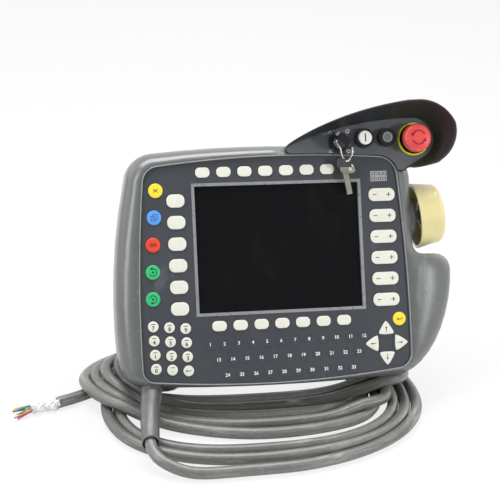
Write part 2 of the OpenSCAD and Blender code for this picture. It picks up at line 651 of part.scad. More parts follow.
module joystick_cap() color([0.92, 0.88, 0.66]) joy() {
  rotate_extrude($fn = 96) polygon(concat([[cap_r - cap_wall, 1], [cap_r, 1], [cap_r, 2]],
    [for (a = [0:10:90]) [cap_end_r - 6.5 + 7 * cos(a), cap_l - 7 + 7 * sin(a)]],
    [[0, cap_l], [0, cap_l - cap_wall]],
    [for (a = [90:-15:0]) [cap_end_r - 7.5 + 5 * cos(a), cap_l - 8 + 5 * sin(a)]]));
}

// ---- grip keys ------------------------------------------------------------

module enable_switch(p) posed() at(p) {
  slab(round_rect(enable_w, enable_l, 6), -grip_depth + 1.5, -grip_depth + 10);
  slab(round_rect(enable_w - 3, enable_l - 3, 5), -grip_depth + 0.6, -grip_depth + 1.5);
}
module enable_left() color([0.82, 0.82, 0.78]) enable_switch(enable_ps[0]);
module enable_inner() color([0.82, 0.82, 0.78]) enable_switch(enable_ps[1]);
module enable_outer() color([0.82, 0.82, 0.78]) enable_switch(enable_ps[2]);
module enable_frames() color([0.1, 0.1, 0.1]) posed() for (p = enable_ps) at(p) difference() {
  slab(round_rect(enable_w + 4, enable_l + 4, 8), -grip_depth, -grip_depth + pocket);
  slab(round_rect(enable_w + 2 * key_play, enable_l + 2 * key_play, 6 + key_play),
    -grip_depth - 1, -grip_depth + pocket + 1);
}
module enable_contacts() color([0.6, 0.58, 0.5]) posed() for (p = enable_ps) at(p)
  slab(round_rect(enable_w - 4, enable_l - 12, 3), -grip_depth + 10.4 + enable_travel,
    -grip_depth + pocket);
module start_key() color([0.15, 0.65, 0.3]) posed() at(start_p, -grip_depth + 0.8)
  cylinder(r = start_r, h = 6);
module start_key_frame() color([0.1, 0.1, 0.1]) posed() at(start_p, -grip_depth) difference() {
  cylinder(r = start_r + 2, h = 10);
  translate([0, 0, -1]) cylinder(r = start_r + run_gap, h = 2 + 7.2 + start_travel - 1);
}
module grip_pads() color([0.08, 0.08, 0.08]) posed() for (p = pad_ps)
  at(p, -grip_depth) cylinder(r = pad_r, h = pad_t);

// ---- cable ----------------------------------------------------------------

// Round points of the cable's route on the table, before the stored shift
boot_pts = [[-131, 13, 39], [-132, 6, 34], [-134, -5, 31.5], [-137, -21, 29], [-139.5, -39, 25],
  [-141, -55, 19.5]];
lead_pts = [[-141, -55, 19.5], [-140.5, -61, 17], [-137, -70, 14], [-130, -79, 12], [-120, -87, 11.8]];
tail_pts = [[-176, 70, 20], [-180, 62, 17], [-187, 54, 10], [-196, 47, 6.2], [-208, 42, 6],
  [-222, 40, 6]];

function sub(v) = let (n = len(v)) [for (i = [0:n - 1])
  let (d = v[min(i + 1, n - 1)] - v[max(i - 1, 0)]) d / norm(d)];
function tube_ring(p, d, r, sides) = let (
    u = cross(d, [0, 0, 1]), a = u / max(norm(u), 0.001), b = cross(a, d))
  [for (i = [0:sides - 1]) p + r * (cos(360 * i / sides) * a - sin(360 * i / sides) * b)];
module tube(pts, rs, sides) let (ds = sub(pts))
  translate([-shift_x, -shift_y, 0]) loft([for (i = [0:len(pts) - 1])
    tube_ring(pts[i], ds[i], rs[i], sides)]);

module cable_gland() color([0.2, 0.2, 0.2]) posed() translate([gland_p.x, 5, gland_p.z])
  rotate([-90, 0, 0]) { cylinder(r = gland_r, h = 18); }
module cable_boot() color([0.35, 0.35, 0.36]) tube(boot_pts,
  [for (i = [0:5]) boot_r - (boot_r - cable_d / 2 - 2.6) * i / 5], 12);
module cable_lead() color([0.5, 0.5, 0.5]) tube(lead_pts, [for (p = lead_pts) cable_d / 2], 10);
module cable_tail() color([0.5, 0.5, 0.5]) tube(tail_pts, [for (p = tail_pts) cable_d / 2], 10);

// A coil's outer shape: a flat band between two ovals, outer and inner, each
// [centre, half width, half depth, roundness]; its floor and roof climb from the
// front of the loop to its sides
function soft(u) = let (v = min(1, max(0, u))) v * v * (3 - 2 * v);
function oval(t, o, turn) = let (
    x = o[1] * sign(cos(t)) * pow(abs(cos(t)), o[3]),
    y = o[2] * sign(sin(t)) * pow(abs(sin(t)), o[3]))
  [o[0].x + x * cos(turn) - y * sin(turn), o[0].y + x * sin(turn) + y * cos(turn)];
function level(t, z) = z[0] + (z[1] - z[0]) * soft((sin(t) + 0.9) / 0.5);
module coil(outer, inner, turn, low, high) translate([-shift_x, -shift_y, 0]) {
  n = 48;
  polyhedron(points = [for (i = [0:n - 1]) let (t = 360 * i / n, p = oval(t, outer, turn),
      q = oval(t, inner, turn)) each [[p.x, p.y, level(t, low)], [p.x, p.y, level(t, high)],
      [q.x, q.y, level(t, high)], [q.x, q.y, level(t, low)]]],
    faces = [for (i = [0:n - 1], k = [0:3]) let (j = (i + 1) % n, m = (k + 1) % 4)
      each [[4 * i + k, 4 * i + m, 4 * j + m], [4 * i + k, 4 * j + m, 4 * j + k]]]);
}
module coil_lower() color([0.5, 0.5, 0.5])
  coil([[-18, 12], 163, 108, 0.98], [[-20, 27], 138, 76, 0.6], 8, [0, 0], [11.8, 11.8]);
module coil_upper() color([0.52, 0.52, 0.52])
  coil([[-24, 45], 173, 84, 0.92], [[-24, 60], 129, 28, 0.5], 0, [0.3, 12.2], [13, 24.2]);
module cable_cores() color([0.8, 0.75, 0.7]) tube([[-222, 40, 6], [-240, 36, 6], [-262, 26, 6]],
  [5, 6, 5], 8);

front_housing();
rear_housing();
housing_seal();
housing_screws();
keypad_overlay();
dome_sheet();
display_bezel();
display_window();
lcd_module();
main_board();
board_standoffs();
interface_board();
hood_shell();
control_plate();
estop_collar();
estop_body();
estop_plunger();
estop_cap();
lock_body();
lock_cylinder();
mode_key();
key_ring();
spare_key();
drives_on_body();
drives_on_button();
drives_off_body();
drives_off_button();
contact_blocks();
joystick_base();
joystick_ring();
joystick_carriage();
joystick_gimbal();
joystick_hub();
joystick_cap();
enable_left();
enable_inner();
enable_outer();
enable_frames();
enable_contacts();
start_key();
start_key_frame();
grip_pads();
cable_gland();
cable_boot();
cable_lead();
coil_lower();
coil_upper();
cable_tail();
cable_cores();
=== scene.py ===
import json
import math
import bmesh
import bpy
import numpy as np
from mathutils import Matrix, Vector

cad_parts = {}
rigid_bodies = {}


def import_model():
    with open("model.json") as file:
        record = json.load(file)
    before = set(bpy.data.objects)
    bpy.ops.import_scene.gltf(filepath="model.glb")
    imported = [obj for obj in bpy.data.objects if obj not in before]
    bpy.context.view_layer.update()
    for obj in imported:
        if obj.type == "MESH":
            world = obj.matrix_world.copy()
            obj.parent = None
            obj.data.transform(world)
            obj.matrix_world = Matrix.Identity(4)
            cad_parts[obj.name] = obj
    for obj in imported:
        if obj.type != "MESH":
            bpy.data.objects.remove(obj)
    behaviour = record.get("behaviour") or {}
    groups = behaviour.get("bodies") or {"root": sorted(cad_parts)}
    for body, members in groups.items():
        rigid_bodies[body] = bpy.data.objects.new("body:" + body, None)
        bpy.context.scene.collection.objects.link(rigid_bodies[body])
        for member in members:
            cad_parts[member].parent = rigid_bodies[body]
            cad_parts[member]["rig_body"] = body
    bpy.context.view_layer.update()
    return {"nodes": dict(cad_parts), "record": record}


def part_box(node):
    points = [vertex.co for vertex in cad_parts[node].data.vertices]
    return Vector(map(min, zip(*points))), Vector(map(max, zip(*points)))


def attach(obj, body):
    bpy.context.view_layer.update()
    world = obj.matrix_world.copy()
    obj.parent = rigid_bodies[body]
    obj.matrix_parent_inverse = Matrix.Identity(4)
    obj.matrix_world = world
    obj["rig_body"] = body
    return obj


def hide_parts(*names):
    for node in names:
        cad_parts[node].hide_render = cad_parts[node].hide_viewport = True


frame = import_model()
nodes = frame["nodes"]
print("frame loaded:", len(nodes), "nodes")

# Places

face = {"lean": math.radians(30), "screenCentre": (0, 0.134, -0.0034)}


def turned(p):
    # face coordinates (right, up the face, out of it) leaned back about X
    p = np.asarray(p, float)
    s, c = math.sin(face["lean"]), math.cos(face["lean"])
    return np.stack([p[..., 0], p[..., 1] * s - p[..., 2] * c, p[..., 1] * c + p[..., 2] * s], -1)


windowLow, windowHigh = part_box("display_window")
faceOrigin = np.array((windowLow + windowHigh) / 2) - turned(face["screenCentre"])


def onFace(p):
    # face coordinates, in metres, as places in the frame
    return turned(p) + faceOrigin


def faceAt(xy, z):
    # points of the face at given heights out of it, all in millimetres
    z = np.broadcast_to(z, xy.shape[:-1])
    return onFace(np.concatenate([xy, z[..., None]], -1) / 1000)


# the cable's points are written in millimetres on the table, before the part's own shift
tableShift = np.array((9.6, 78.7, 0)) / 1000


def onTable(points):
    return np.array(points, float) / 1000 - tableShift


# Meshes

def placed(name, data):
    # a new object in the scene
    thing = bpy.data.objects.new(name, data)
    bpy.context.scene.collection.objects.link(thing)
    return thing


def meshPiece(name, verts, faces, body, slot, smooth=True, uv=None, sharp=None, paint=None):
    # a mesh with the body it moves with, its slot and its finish; edges are sharp above an angle
    mesh = bpy.data.meshes.new(name)
    mesh.from_pydata(np.asarray(verts, float).reshape(-1, 3).tolist(), [], [list(map(int, f)) for f in faces])
    mesh.polygons.foreach_set("use_smooth", np.full(len(mesh.polygons), smooth))
    if uv is not None:
        layer = mesh.uv_layers.new(name="along")
        corner = np.zeros(len(mesh.loops), np.int64)
        mesh.loops.foreach_get("vertex_index", corner)
        layer.data.foreach_set("uv", np.asarray(uv, np.float32)[corner].ravel())
    mesh.update()
    if sharp:
        mesh.set_sharp_from_angle(angle=math.radians(sharp))
    piece = placed(name, mesh)
    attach(piece, body)
    mesh.materials.append((paint or paints[slot]).material)
    return piece


def gridFaces(rows, columns, start=0):
    # quads between neighbouring rings of a grid
    r = np.arange(rows - 1)[:, None]
    c = np.arange(columns)[None]
    k = (c + 1) % columns
    quads = np.stack([r * columns + c, r * columns + k, (r + 1) * columns + k, (r + 1) * columns + c], -1)
    return quads.reshape(-1, 4) + start


def capped(rows, columns, start=0):
    # the same quads with a cap on the first ring and one on the last
    first = list(range(start, start + columns))
    last = [i + (rows - 1) * columns for i in first]
    return gridFaces(rows, columns, start).tolist() + [first[::-1], last]


def around(count, shift=0.0):
    # even angles round a circle, their cosines and their sines
    t = (np.arange(count) + shift) * 2 * np.pi / count
    return t, np.cos(t), np.sin(t)


def unit(v):
    # each vector divided by its length
    return v / np.maximum(np.linalg.norm(v, axis=-1, keepdims=True), 1e-9)


def distances(p):
    # how far along a polyline each of its points lies
    return np.r_[0, np.cumsum(np.linalg.norm(np.diff(p, axis=0), axis=1))]


def tube(path, radius, sides, squeeze=None):
    # ring of points round each path point, in the plane square to the path; the side axis
    # is carried along the path so that the tube doesn't twist; closed with a fan at each end
    path = np.asarray(path, float)
    n = len(path)
    ahead = unit(np.gradient(path, axis=0))
    side = unit(np.cross(ahead, [0, 0, 1.0]))
    up = np.cross(side, ahead)
    angle, c, s = around(sides)
    r = np.broadcast_to(np.asarray(radius, float).reshape(-1, 1, 1), (n, 1, 1))
    ring = c[:, None] * side[:, None] + s[:, None] * up[:, None]
    if squeeze is not None:
        r = r * squeeze(np.arange(n)[:, None], angle[None])[..., None]
    verts = np.concatenate([(path[:, None] + r * ring).reshape(-1, 3), path[:1], path[-1:]])
    along = distances(path)
    uv = np.stack(np.broadcast_arrays(along[:, None], angle[None] / (2 * np.pi)), -1).reshape(-1, 2)
    uv = np.concatenate([uv, [[0, 0.5]], [[along[-1], 0.5]]])
    faces = gridFaces(n, sides).tolist()
    last = (n - 1) * sides
    faces += [[n * sides, (i + 1) % sides, i] for i in range(sides)]
    faces += [[n * sides + 1, last + i, last + (i + 1) % sides] for i in range(sides)]
    return verts, [f[::-1] for f in faces], uv


def spline(points, step):
    # smooth curve through chosen points (Catmull-Rom), then even steps along it
    p = np.asarray(points, float)
    q = np.concatenate([[2 * p[0] - p[1]], p, [2 * p[-1] - p[-2]]])
    t = np.linspace(0, 1, 24, endpoint=False)[:, None]
    parts = [0.5 * (2 * b + (c - a) * t + (2 * a - 5 * b + 4 * c - d) * t ** 2 + (3 * b - a - 3 * c + d) * t ** 3)
             for a, b, c, d in zip(q, q[1:], q[2:], q[3:])]
    return evenSteps(np.concatenate(parts + [p[-1:]]), step)


def evenSteps(p, step):
    # points at equal distances along a polyline
    run = distances(p)
    at = np.linspace(0, run[-1], int(round(run[-1] / step)) + 1)
    return np.stack([np.interp(at, run, p[:, k]) for k in range(3)], -1)


# Shading

class Wire:
    # a shader value that can stand in a sum; every operation adds a Math node
    def __init__(self, paint, socket):
        self.paint, self.socket = paint, socket

    def sum(self, kind, a, b):
        return self.paint.add("Math", {"operation": kind}, {0: a, 1: b})

    def __add__(self, other):
        return self.sum("ADD", self, other)

    def __sub__(self, other):
        return self.sum("SUBTRACT", self, other)

    def __rsub__(self, other):
        return self.sum("SUBTRACT", other, self)

    def __mul__(self, other):
        return self.sum("MULTIPLY", self, other)

    __radd__, __rmul__ = __add__, __mul__


class Paint:
    # one material and the nodes that feed its shader; textures are laid out in the object's own metres
    def __init__(self, name, world=False):
        self.material = (bpy.data.worlds if world else bpy.data.materials).new(name)
        self.material.use_nodes = True
        self.tree = self.material.node_tree
        self.shader = self.tree.nodes["Background" if world else "Principled BSDF"]
        self.place = self.add("TexCoord", {}, {}, "Object")

    def add(self, kind, settings, values, out=0):
        # a node with its settings, and a value or a wire on each input
        node = self.tree.nodes.new("ShaderNode" + kind)
        for key, value in settings.items():
            if key == "stops":
                ramp = node.color_ramp
                for i, (place, shade) in enumerate(value):
                    stop = ramp.elements[i] if i < 2 else ramp.elements.new(place)
                    stop.position = place
                    stop.color = (shade, shade, shade, 1) if isinstance(shade, (int, float)) else (*shade, 1)
            else:
                setattr(node, key, value)
        for key, value in values.items():
            if isinstance(value, Wire):
                self.tree.links.new(value.socket, node.inputs[key])
            else:
                node.inputs[key].default_value = value
        return Wire(self, node.outputs[out])

    def set(self, **values):
        for key, value in values.items():
            socket = self.shader.inputs[key.replace("_", " ")]
            if isinstance(value, Wire):
                self.tree.links.new(value.socket, socket)
            else:
                socket.default_value = (*value, 1) if isinstance(value, tuple) and len(value) == 3 else value

    def noise(self, scale, detail=3, stretch=(1, 1, 1), place=None, distortion=0.0):
        spot = self.add("Mapping", {}, {"Vector": place or self.place, "Scale": stretch})
        return self.add("TexNoise", {}, {"Vector": spot, "Scale": scale, "Detail": detail,
                                         "Distortion": distortion})

    def between(self, value, low, high, a=0.0, b=1.0):
        # smooth step from a to b while the value goes from low to high
        return self.add("MapRange", {"interpolation_type": "SMOOTHSTEP"},
                        {"Value": value, "From Min": low, "From Max": high, "To Min": a, "To Max": b})

    def mix(self, share, a, b):
        first, second = [c if isinstance(c, Wire) else (*c, 1) for c in (a, b)]
        return self.add("Mix", {"data_type": "RGBA"}, {0: share, 6: first, 7: second}, 2)

    def bump(self, height, strength, distance):
        self.set(Normal=self.add("Bump", {}, {"Height": height, "Strength": strength, "Distance": distance}))


def tone(colour, factor):
    # the colour made lighter or darker
    return tuple(min(1.0, c * factor) for c in colour)


def linear(red, green, blue):
    # a screen colour from 0 to 255 as the shader's linear colour
    return tuple(((c / 255 + 0.055) / 1.055) ** 2.4 if c > 10 else c / 255 / 12.92 for c in (red, green, blue))


def moulded(name, colour, rough=0.45, grain=0.25, blotch=0.08, scuff=0.25, scuffColour=None, spec=0.5, coat=0.0):
    # injection-moulded plastic: a fine spark-eroded grain, cloudy gloss, and pale rub marks
    # that run in short streaks
    paint = Paint(name)
    cloud = paint.noise(16, 4)
    streak = paint.noise(60, 4, (1, 0.25, 0.5), distortion=0.6)
    rubbed = paint.between(streak, 0.6, 0.74) * paint.between(cloud, 0.42, 0.66) * scuff
    base = paint.mix(cloud, tone(colour, 1 - blotch), tone(colour, 1 + blotch))
    paint.set(Base_Color=paint.mix(rubbed, base, scuffColour or tone(colour, 1.7)),
              Roughness=paint.between(cloud, 0.3, 0.7, rough - 0.06, rough + 0.06) + rubbed * 0.25,
              Specular_IOR_Level=spec, Coat_Weight=coat, Coat_Roughness=0.25)
    skin = paint.noise(2600, 2) * 0.6 + paint.noise(700, 2) * 0.4
    paint.bump(skin, grain, 0.0001)
    return paint


def metal(name, colour, rough=0.3, brush=(1, 1, 1), tarnish=0.15, metallic=1.0):
    # metal with fine brushing along one direction and a faint cloudy tarnish
    paint = Paint(name)
    lines = paint.noise(900, 3, brush)
    cloud = paint.noise(70, 4)
    paint.set(Base_Color=paint.mix(paint.between(cloud, 0.35, 0.75) * tarnish * 3, colour, tone(colour, 0.55)),
              Metallic=metallic, Roughness=paint.between(lines, 0.2, 0.8, rough - 0.08, rough + 0.1))
    paint.bump(lines, 0.15, 0.00008)
    return paint


def rubber(name, colour, rough=0.7):
    # soft rubber: dull, a little dusty in its hollows
    paint = Paint(name)
    dust = paint.between(paint.noise(120, 5), 0.5, 0.8)
    paint.set(Base_Color=paint.mix(dust * 0.35, colour, tone(colour, 2.4)), Roughness=rough + dust * 0.15,
              Specular_IOR_Level=0.35)
    paint.bump(paint.noise(1500, 3), 0.3, 0.00012)
    return paint


def keyCap(name, colour, soil=0.12):
    # a printed key dome: smooth lacquer, greyer towards worn patches
    paint = Paint(name)
    worn = paint.between(paint.noise(90, 4), 0.45, 0.7)
    paint.set(Base_Color=paint.mix(worn * soil * 2, colour, tone(colour, 0.8)),
              Roughness=0.36 + worn * 0.18, Coat_Weight=0.25, Coat_Roughness=0.3)
    paint.bump(paint.noise(1800, 2), 0.12, 0.00006)
    return paint


def glass(name):
    # dark display glass: nearly black, glossy, with a faint fine grain and finger marks
    paint = Paint(name)
    smear = paint.between(paint.noise(28, 5, (1, 0.5, 0.5), distortion=0.8), 0.5, 0.75)
    paint.set(Base_Color=paint.mix(smear * 0.5, (0.006, 0.006, 0.007), (0.013, 0.0125, 0.012)),
              Roughness=0.08 + smear * 0.16, Specular_IOR_Level=0.22)
    paint.bump(paint.noise(2000, 2), 0.02, 0.00003)
    return paint


def cableSkin(name, colour):
    # drawn cable jacket, along its own length: stretched scuffs, dark stretches of painted shade and fine draw
    # lines
    paint = Paint(name)
    along = paint.add("UVMap", {"uv_map": "along"}, {})
    scuffs = paint.noise(1, 5, (22, 6, 1), along, 0.8)
    fine = paint.noise(1, 4, (160, 26, 1), along)
    patch = paint.noise(14, 4)
    rubbed = paint.between(scuffs, 0.5, 0.72) * paint.between(patch, 0.35, 0.65)
    base = paint.mix(paint.between(fine, 0.3, 0.75), tone(colour, 0.78), tone(colour, 1.12))
    # painted shade: dark stretches along the length that stand for strands lying in shadow
    shadeStretch = paint.between(paint.noise(1, 3, (4, 2, 1), along), 0.42, 0.68)
    base = paint.mix(shadeStretch * 0.8, base, tone(colour, 0.3))
    paint.set(Base_Color=paint.mix(rubbed * 0.8, base, tone(colour, 2.3)),
              Roughness=0.34 + rubbed * 0.2 + fine * 0.1, Specular_IOR_Level=0.6,
              Coat_Weight=0.3, Coat_Roughness=0.3)
    paint.bump(fine * 0.5 + scuffs * 0.5, 0.35, 0.0004)
    return paint


def circuit(name, colour):
    # board lacquer with a grid of copper tracks seen through it
    paint = Paint(name)
    tracks = paint.add("TexBrick", {}, {"Vector": paint.place, "Scale": 140.0, "Mortar Size": 0.03,
                                        "Color1": (0, 0, 0, 1), "Color2": (0, 0, 0, 1), "Mortar": (1, 1, 1, 1)}, 1)
    paint.set(Base_Color=paint.mix(tracks, colour, tone(colour, 2.2)), Roughness=0.35 + paint.noise(300) * 0.2,
              Coat_Weight=0.4, Coat_Roughness=0.15)
    paint.bump(tracks, 0.2, 0.0001)
    return paint


greys = {"housing": linear(100, 102, 102), "foil": linear(66, 69, 74), "plate": linear(88, 92, 96),
         "hood": linear(44, 44, 46), "cable": linear(118, 118, 115), "boot": linear(94, 94, 95),
         "ivory": linear(226, 226, 214), "cream": linear(226, 214, 158), "black": linear(26, 26, 27)}
keyColours = {"yellow": linear(243, 221, 66), "blue": linear(88, 158, 236), "red": linear(232, 70, 44),
              "green": linear(52, 188, 116)}


def capPaint(name):
    # glossy cream moulding with faint olive clouds of painted shade
    paint = Paint(name)
    cloud = paint.noise(22, 4)
    # painted shade: olive clouds darken the cream in patches
    paint.set(Base_Color=paint.mix(paint.between(cloud, 0.35, 0.7) * 0.5, greys["cream"], linear(206, 192, 128)),
              Roughness=0.26 + cloud * 0.14, Coat_Weight=0.35, Coat_Roughness=0.12)
    paint.bump(paint.noise(1500, 2), 0.08, 0.00006)
    return paint


# each slot's recipe and what it is given; the material is named after the slot
finishes = {
    "grey_housing": (moulded, greys["housing"], 0.27, 0.2, 0.07, 0.4, linear(168, 170, 170), 0.6, 0.35),
    "dark_seal": (rubber, linear(40, 40, 40)),
    "screw_steel": (metal, linear(190, 190, 192), 0.32),
    "key_foil": (moulded, greys["foil"], 0.42, 0.16, 0.05, 0.3, linear(120, 124, 128), 0.45),
    "dome_steel": (metal, linear(200, 196, 180), 0.28),
    "frame_metal": (metal, linear(172, 174, 176), 0.3, (0.15, 0.15, 0.15), 0.04, 0.5),
    "screen_glass": (glass,),
    "module_metal": (metal, linear(170, 172, 175), 0.4),
    "board_green": (circuit, linear(20, 80, 48)),
    "post_metal": (metal, linear(196, 186, 150), 0.35),
    "hood_black": (moulded, greys["hood"], 0.36, 0.2, 0.12, 0.45, linear(92, 92, 95), 0.55, 0.05),
    "plate_slate": (moulded, greys["plate"], 0.4, 0.15, 0.05, 0.3, linear(110, 114, 118), 0.5),
    "stop_yellow": (moulded, linear(222, 224, 44), 0.38, 0.12, 0.05, 0.2),
    "stop_red": (moulded, linear(222, 78, 78), 0.34, 0.1, 0.05, 0.3, linear(240, 150, 145), 0.5, 0.3),
    "fitting_black": (moulded, greys["black"], 0.3, 0.12, 0.1, 0.4, linear(80, 80, 82), 0.55, 0.3),
    "lock_metal": (metal, linear(190, 192, 194), 0.24),
    "key_black": (moulded, linear(30, 30, 32), 0.32, 0.12, 0.1, 0.4, linear(90, 90, 92)),
    "wire_metal": (metal, linear(240, 240, 242), 0.25),
    "key_metal": (metal, linear(196, 196, 182), 0.34, (1, 0.1, 0.1)),
    "button_white": (moulded, linear(232, 232, 228), 0.34, 0.08, 0.04, 0.2, linear(200, 200, 196)),
    "button_dark": (moulded, linear(58, 62, 64), 0.34, 0.08, 0.06, 0.3),
    "contact_beige": (moulded, linear(196, 186, 160), 0.5, 0.2),
    "gold_metal": (metal, linear(188, 158, 84), 0.26),
    "works_steel": (metal, linear(176, 178, 180), 0.3),
    "cap_cream": (capPaint,),
    "enable_ivory": (moulded, linear(214, 212, 200), 0.42, 0.15, 0.05, 0.3, linear(180, 178, 168)),
    "start_green": (moulded, linear(46, 168, 92), 0.36, 0.1),
    "pad_rubber": (rubber, linear(34, 34, 34)),
    "cable_grey": (cableSkin, greys["cable"]),
    "boot_grey": (cableSkin, greys["boot"]),
    "core_fleece": (moulded, linear(232, 232, 230), 0.8, 0.4, 0.1, 0.5, linear(250, 250, 250)),
}


def slotPaint(slot, recipe, *values):
    first, *others = slot.split("_")
    return recipe(first + "".join(word.capitalize() for word in others), *values)


paints = {slot: slotPaint(slot, *values) for slot, values in finishes.items()}
slotOf = {row["node"]: row["material_slot"] for row in frame["record"]["subparts"]}
for name, part in nodes.items():
    part.data.materials.clear()
    part.data.materials.append(paints[slotOf[name]].material)
print("finishes on the CAD nodes:", len(paints))


# Camera

lens = {"place": (-0.33566, -1.23688, 0.81799), "angles": (62.183, -3.696, -11.656), "focal": 104.4}
cameraData = bpy.data.cameras.new("camera")
cameraData.lens = lens["focal"]
cameraData.sensor_width = 36
cameraData.clip_start, cameraData.clip_end = 0.05, 50
camera = placed("camera", cameraData)
camera.location = lens["place"]
camera.rotation_euler = [math.radians(a) for a in lens["angles"]]
bpy.context.scene.camera = camera

# Cable

cable = {
    "diameter": 11.5, "step": 5.8, "rounds": 500, "clearance": 0.3, "bendRadius": 23, "bootRadii": (10.3, 8.6),
    "boot": [(-131, 13, 39), (-132, 6, 34), (-134, -5, 31.5), (-137, -21, 29), (-139.5, -39, 25),
             (-141, -55, 19.5)],
    "lead": [(-141, -55, 19.5), (-140.5, -61, 17), (-137, -70, 14), (-130, -79, 12), (-120, -86, 9.5),
             (-100, -90.5, 6.5)],
    "tail": [(-60, 91, 6), (-110, 88, 6), (-140, 78, 6), (-158, 66, 6), (-183, 55.6, 6), (-205, 46.5, 6),
             (-222, 40, 6)],
    # each turn: its extremes at the front, right, back and left, how square its four quarters are,
    # and its heights at twelve stations from the front round to the front again
    "turns": [
        ((-50, -91), (141, 16), (0, 126), (-174, 28), (0.96, 0.95, 0.9, 0.86),
         (6, 6, 6, 6, 6, 6, 6, 6, 16, 14, 6, 6)),
        ((-40, -72), (129, 22), (0, 114.5), (-162, 20), (0.88, 0.95, 0.9, 0.8),
         (6, 6, 6, 6, 6, 6, 6, 6, 16, 14, 6, 6)),
        ((-35, -58), (117.5, 28), (0, 138), (-188, 60), (0.78, 0.95, 0.9, 1.25),
         (6, 6, 6, 6, 17, 17, 6, 8, 17, 17.5, 17.5, 12)),
        ((-24, -33), (106, 30), (0, 132), (-182, 62), (0.88, 0.95, 0.9, 1.15),
         (6, 6, 6, 6, 17, 17.5, 16, 17, 25, 24, 19, 12)),
        ((-24, -18), (112, 2), (0, 120), (-172, 66), (0.85, 0.95, 0.9, 1),
         (6, 6, 14, 16, 17.5, 17.5, 16, 17, 25, 24, 19, 12)),
        ((-24, -3), (94, 30), (0, 108.5), (-160, 70), (0.8, 0.95, 0.9, 0.85),
         (6, 6, 6, 6, 10, 16, 16, 17, 24, 22, 18, 9)),
        ((-24, 12), (140, 24), (0, 102.5), (-150, 72), (0.9, 0.95, 0.9, 0.75),
         (6, 13, 23.5, 22, 22.5, 19, 6, 8, 17, 12, 6, 6)),
        ((-24, 26.5), (130, 45), (0, 91), None, (0.95, 0.95, 0.9, 0.7),
         (6, 12, 21, 21, 22, 17, 6)),
    ],
}


def ease(u):
    # smooth step from nothing to one
    u = np.clip(u, 0, 1)
    return u * u * (3 - 2 * u)


def quarter(start, end, sideways, power, heights, count=60):
    # quarter of an oval between two extremes, sine and cosine raised to a power
    u = np.linspace(0, math.pi / 2, count, endpoint=False)
    s, c = np.sin(u) ** power, np.cos(u) ** power
    if sideways:
        xy = (end[0] + (start[0] - end[0]) * c, start[1] + (end[1] - start[1]) * s)
    else:
        xy = (start[0] + (end[0] - start[0]) * s, end[1] + (start[1] - end[1]) * c)
    return np.stack([*xy, np.interp(u * 6 / math.pi, range(4), heights)], -1)


def coilRoute():
    # turns flat on the table at the front, crossing each other and piled at the sides and the back
    parts = []
    for k, (front, right, back, left, power, height) in enumerate(cable["turns"]):
        stops = [front, right, back] + ([left, cable["turns"][k + 1][0]] if left else [])
        heights = list(height) + [6]
        for j, (start, end) in enumerate(zip(stops, stops[1:])):
            parts.append(quarter(start, end, j % 2 == 1, power[j], heights[3 * j:3 * j + 4]))
    return np.concatenate(parts)[8:]


def softened(p, rounds):
    # each point is averaged with its neighbours, one part, two parts, one part
    for i in range(rounds):
        p[1:-1] = (p[:-2] + 2 * p[1:-1] + p[2:]) / 4
    return p


def settle(p, gap, floor, rounds, hold):
    # turns nearer than one diameter push each other apart, the shift from the first route is
    # evened out along the cable, and it sinks a little but stays above the table
    home, n = p.copy(), len(p)
    apart = int(3 * gap / np.linalg.norm(p[1] - p[0]))
    free = np.ones((n, 1))
    free[:hold] = free[-hold:] = 0
    for step in range(rounds):
        if step % 15 == 0:
            distance = np.linalg.norm(p[:, None] - p[None], axis=2)
            a, b = np.nonzero(np.triu(distance < gap * 1.6, apart))
        between = p[b] - p[a]
        length = np.linalg.norm(between, axis=1) + 1e-9
        push = between / length[:, None] * (np.clip(gap - length, 0, None) * 0.3)[:, None]
        move, touching = np.zeros_like(p), np.ones(n)
        np.add.at(move, b, push)
        np.add.at(move, a, -push)
        np.add.at(touching, a, length < gap)
        np.add.at(touching, b, length < gap)
        p = p + move / np.sqrt(touching)[:, None] * free
        late = step > rounds * 0.85
        shift = p - home
        bend = np.zeros_like(p)
        bend[1:-1] = shift[:-2] + shift[2:] - 2 * shift[1:-1]
        p = p + bend * free * (0.1 if late else 0.3)
        p[:, :2] -= 0.004 * shift[:, :2] * free
        p[:, 2] = np.maximum(p[:, 2] - (0 if late else 0.05) * free[:, 0], floor)
    return p


def unkinked(p, radius, rounds):
    # wherever three neighbours bend tighter than the radius, the middle one is drawn towards
    # the others, and the points beside it a little less
    for i in range(rounds):
        before, after = p[1:-1] - p[:-2], p[2:] - p[1:-1]
        step = (np.linalg.norm(before, axis=1) + np.linalg.norm(after, axis=1)) / 2
        excess = np.clip(np.linalg.norm(after - before, axis=1) * radius / step ** 2 - 1, 0, 1)
        share = np.convolve(excess, [0.25, 0.5, 1, 0.5, 0.25], "same").clip(0, 1)[:, None]
        p[1:-1] += 0.25 * share * (p[:-2] + p[2:] - 2 * p[1:-1])
    return p


def makeCable():
    # round tube along one route: down from the boot, eight turns of the coil, and away to the left
    loose = np.concatenate([spline(cable["lead"], 3), coilRoute(), np.array(cable["tail"], float)])
    route = evenSteps(loose, cable["step"])
    route[6:-6] = softened(route[4:-4], 10)[2:-2]
    gap = cable["diameter"] + cable["clearance"]
    laid = settle(route, gap, gap / 2, cable["rounds"], 4)
    whole = np.concatenate([spline(cable["boot"], 5)[:-1], laid])
    path = onTable(unkinked(whole, cable["bendRadius"], 50))
    verts, faces, uv = tube(path, cable["diameter"] / 2000, 20)
    piece = meshPiece("cable", verts, faces, "pendant", "cable_grey", uv=uv)
    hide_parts("cable_lead", "coil_lower", "coil_upper", "cable_tail")
    return piece, path


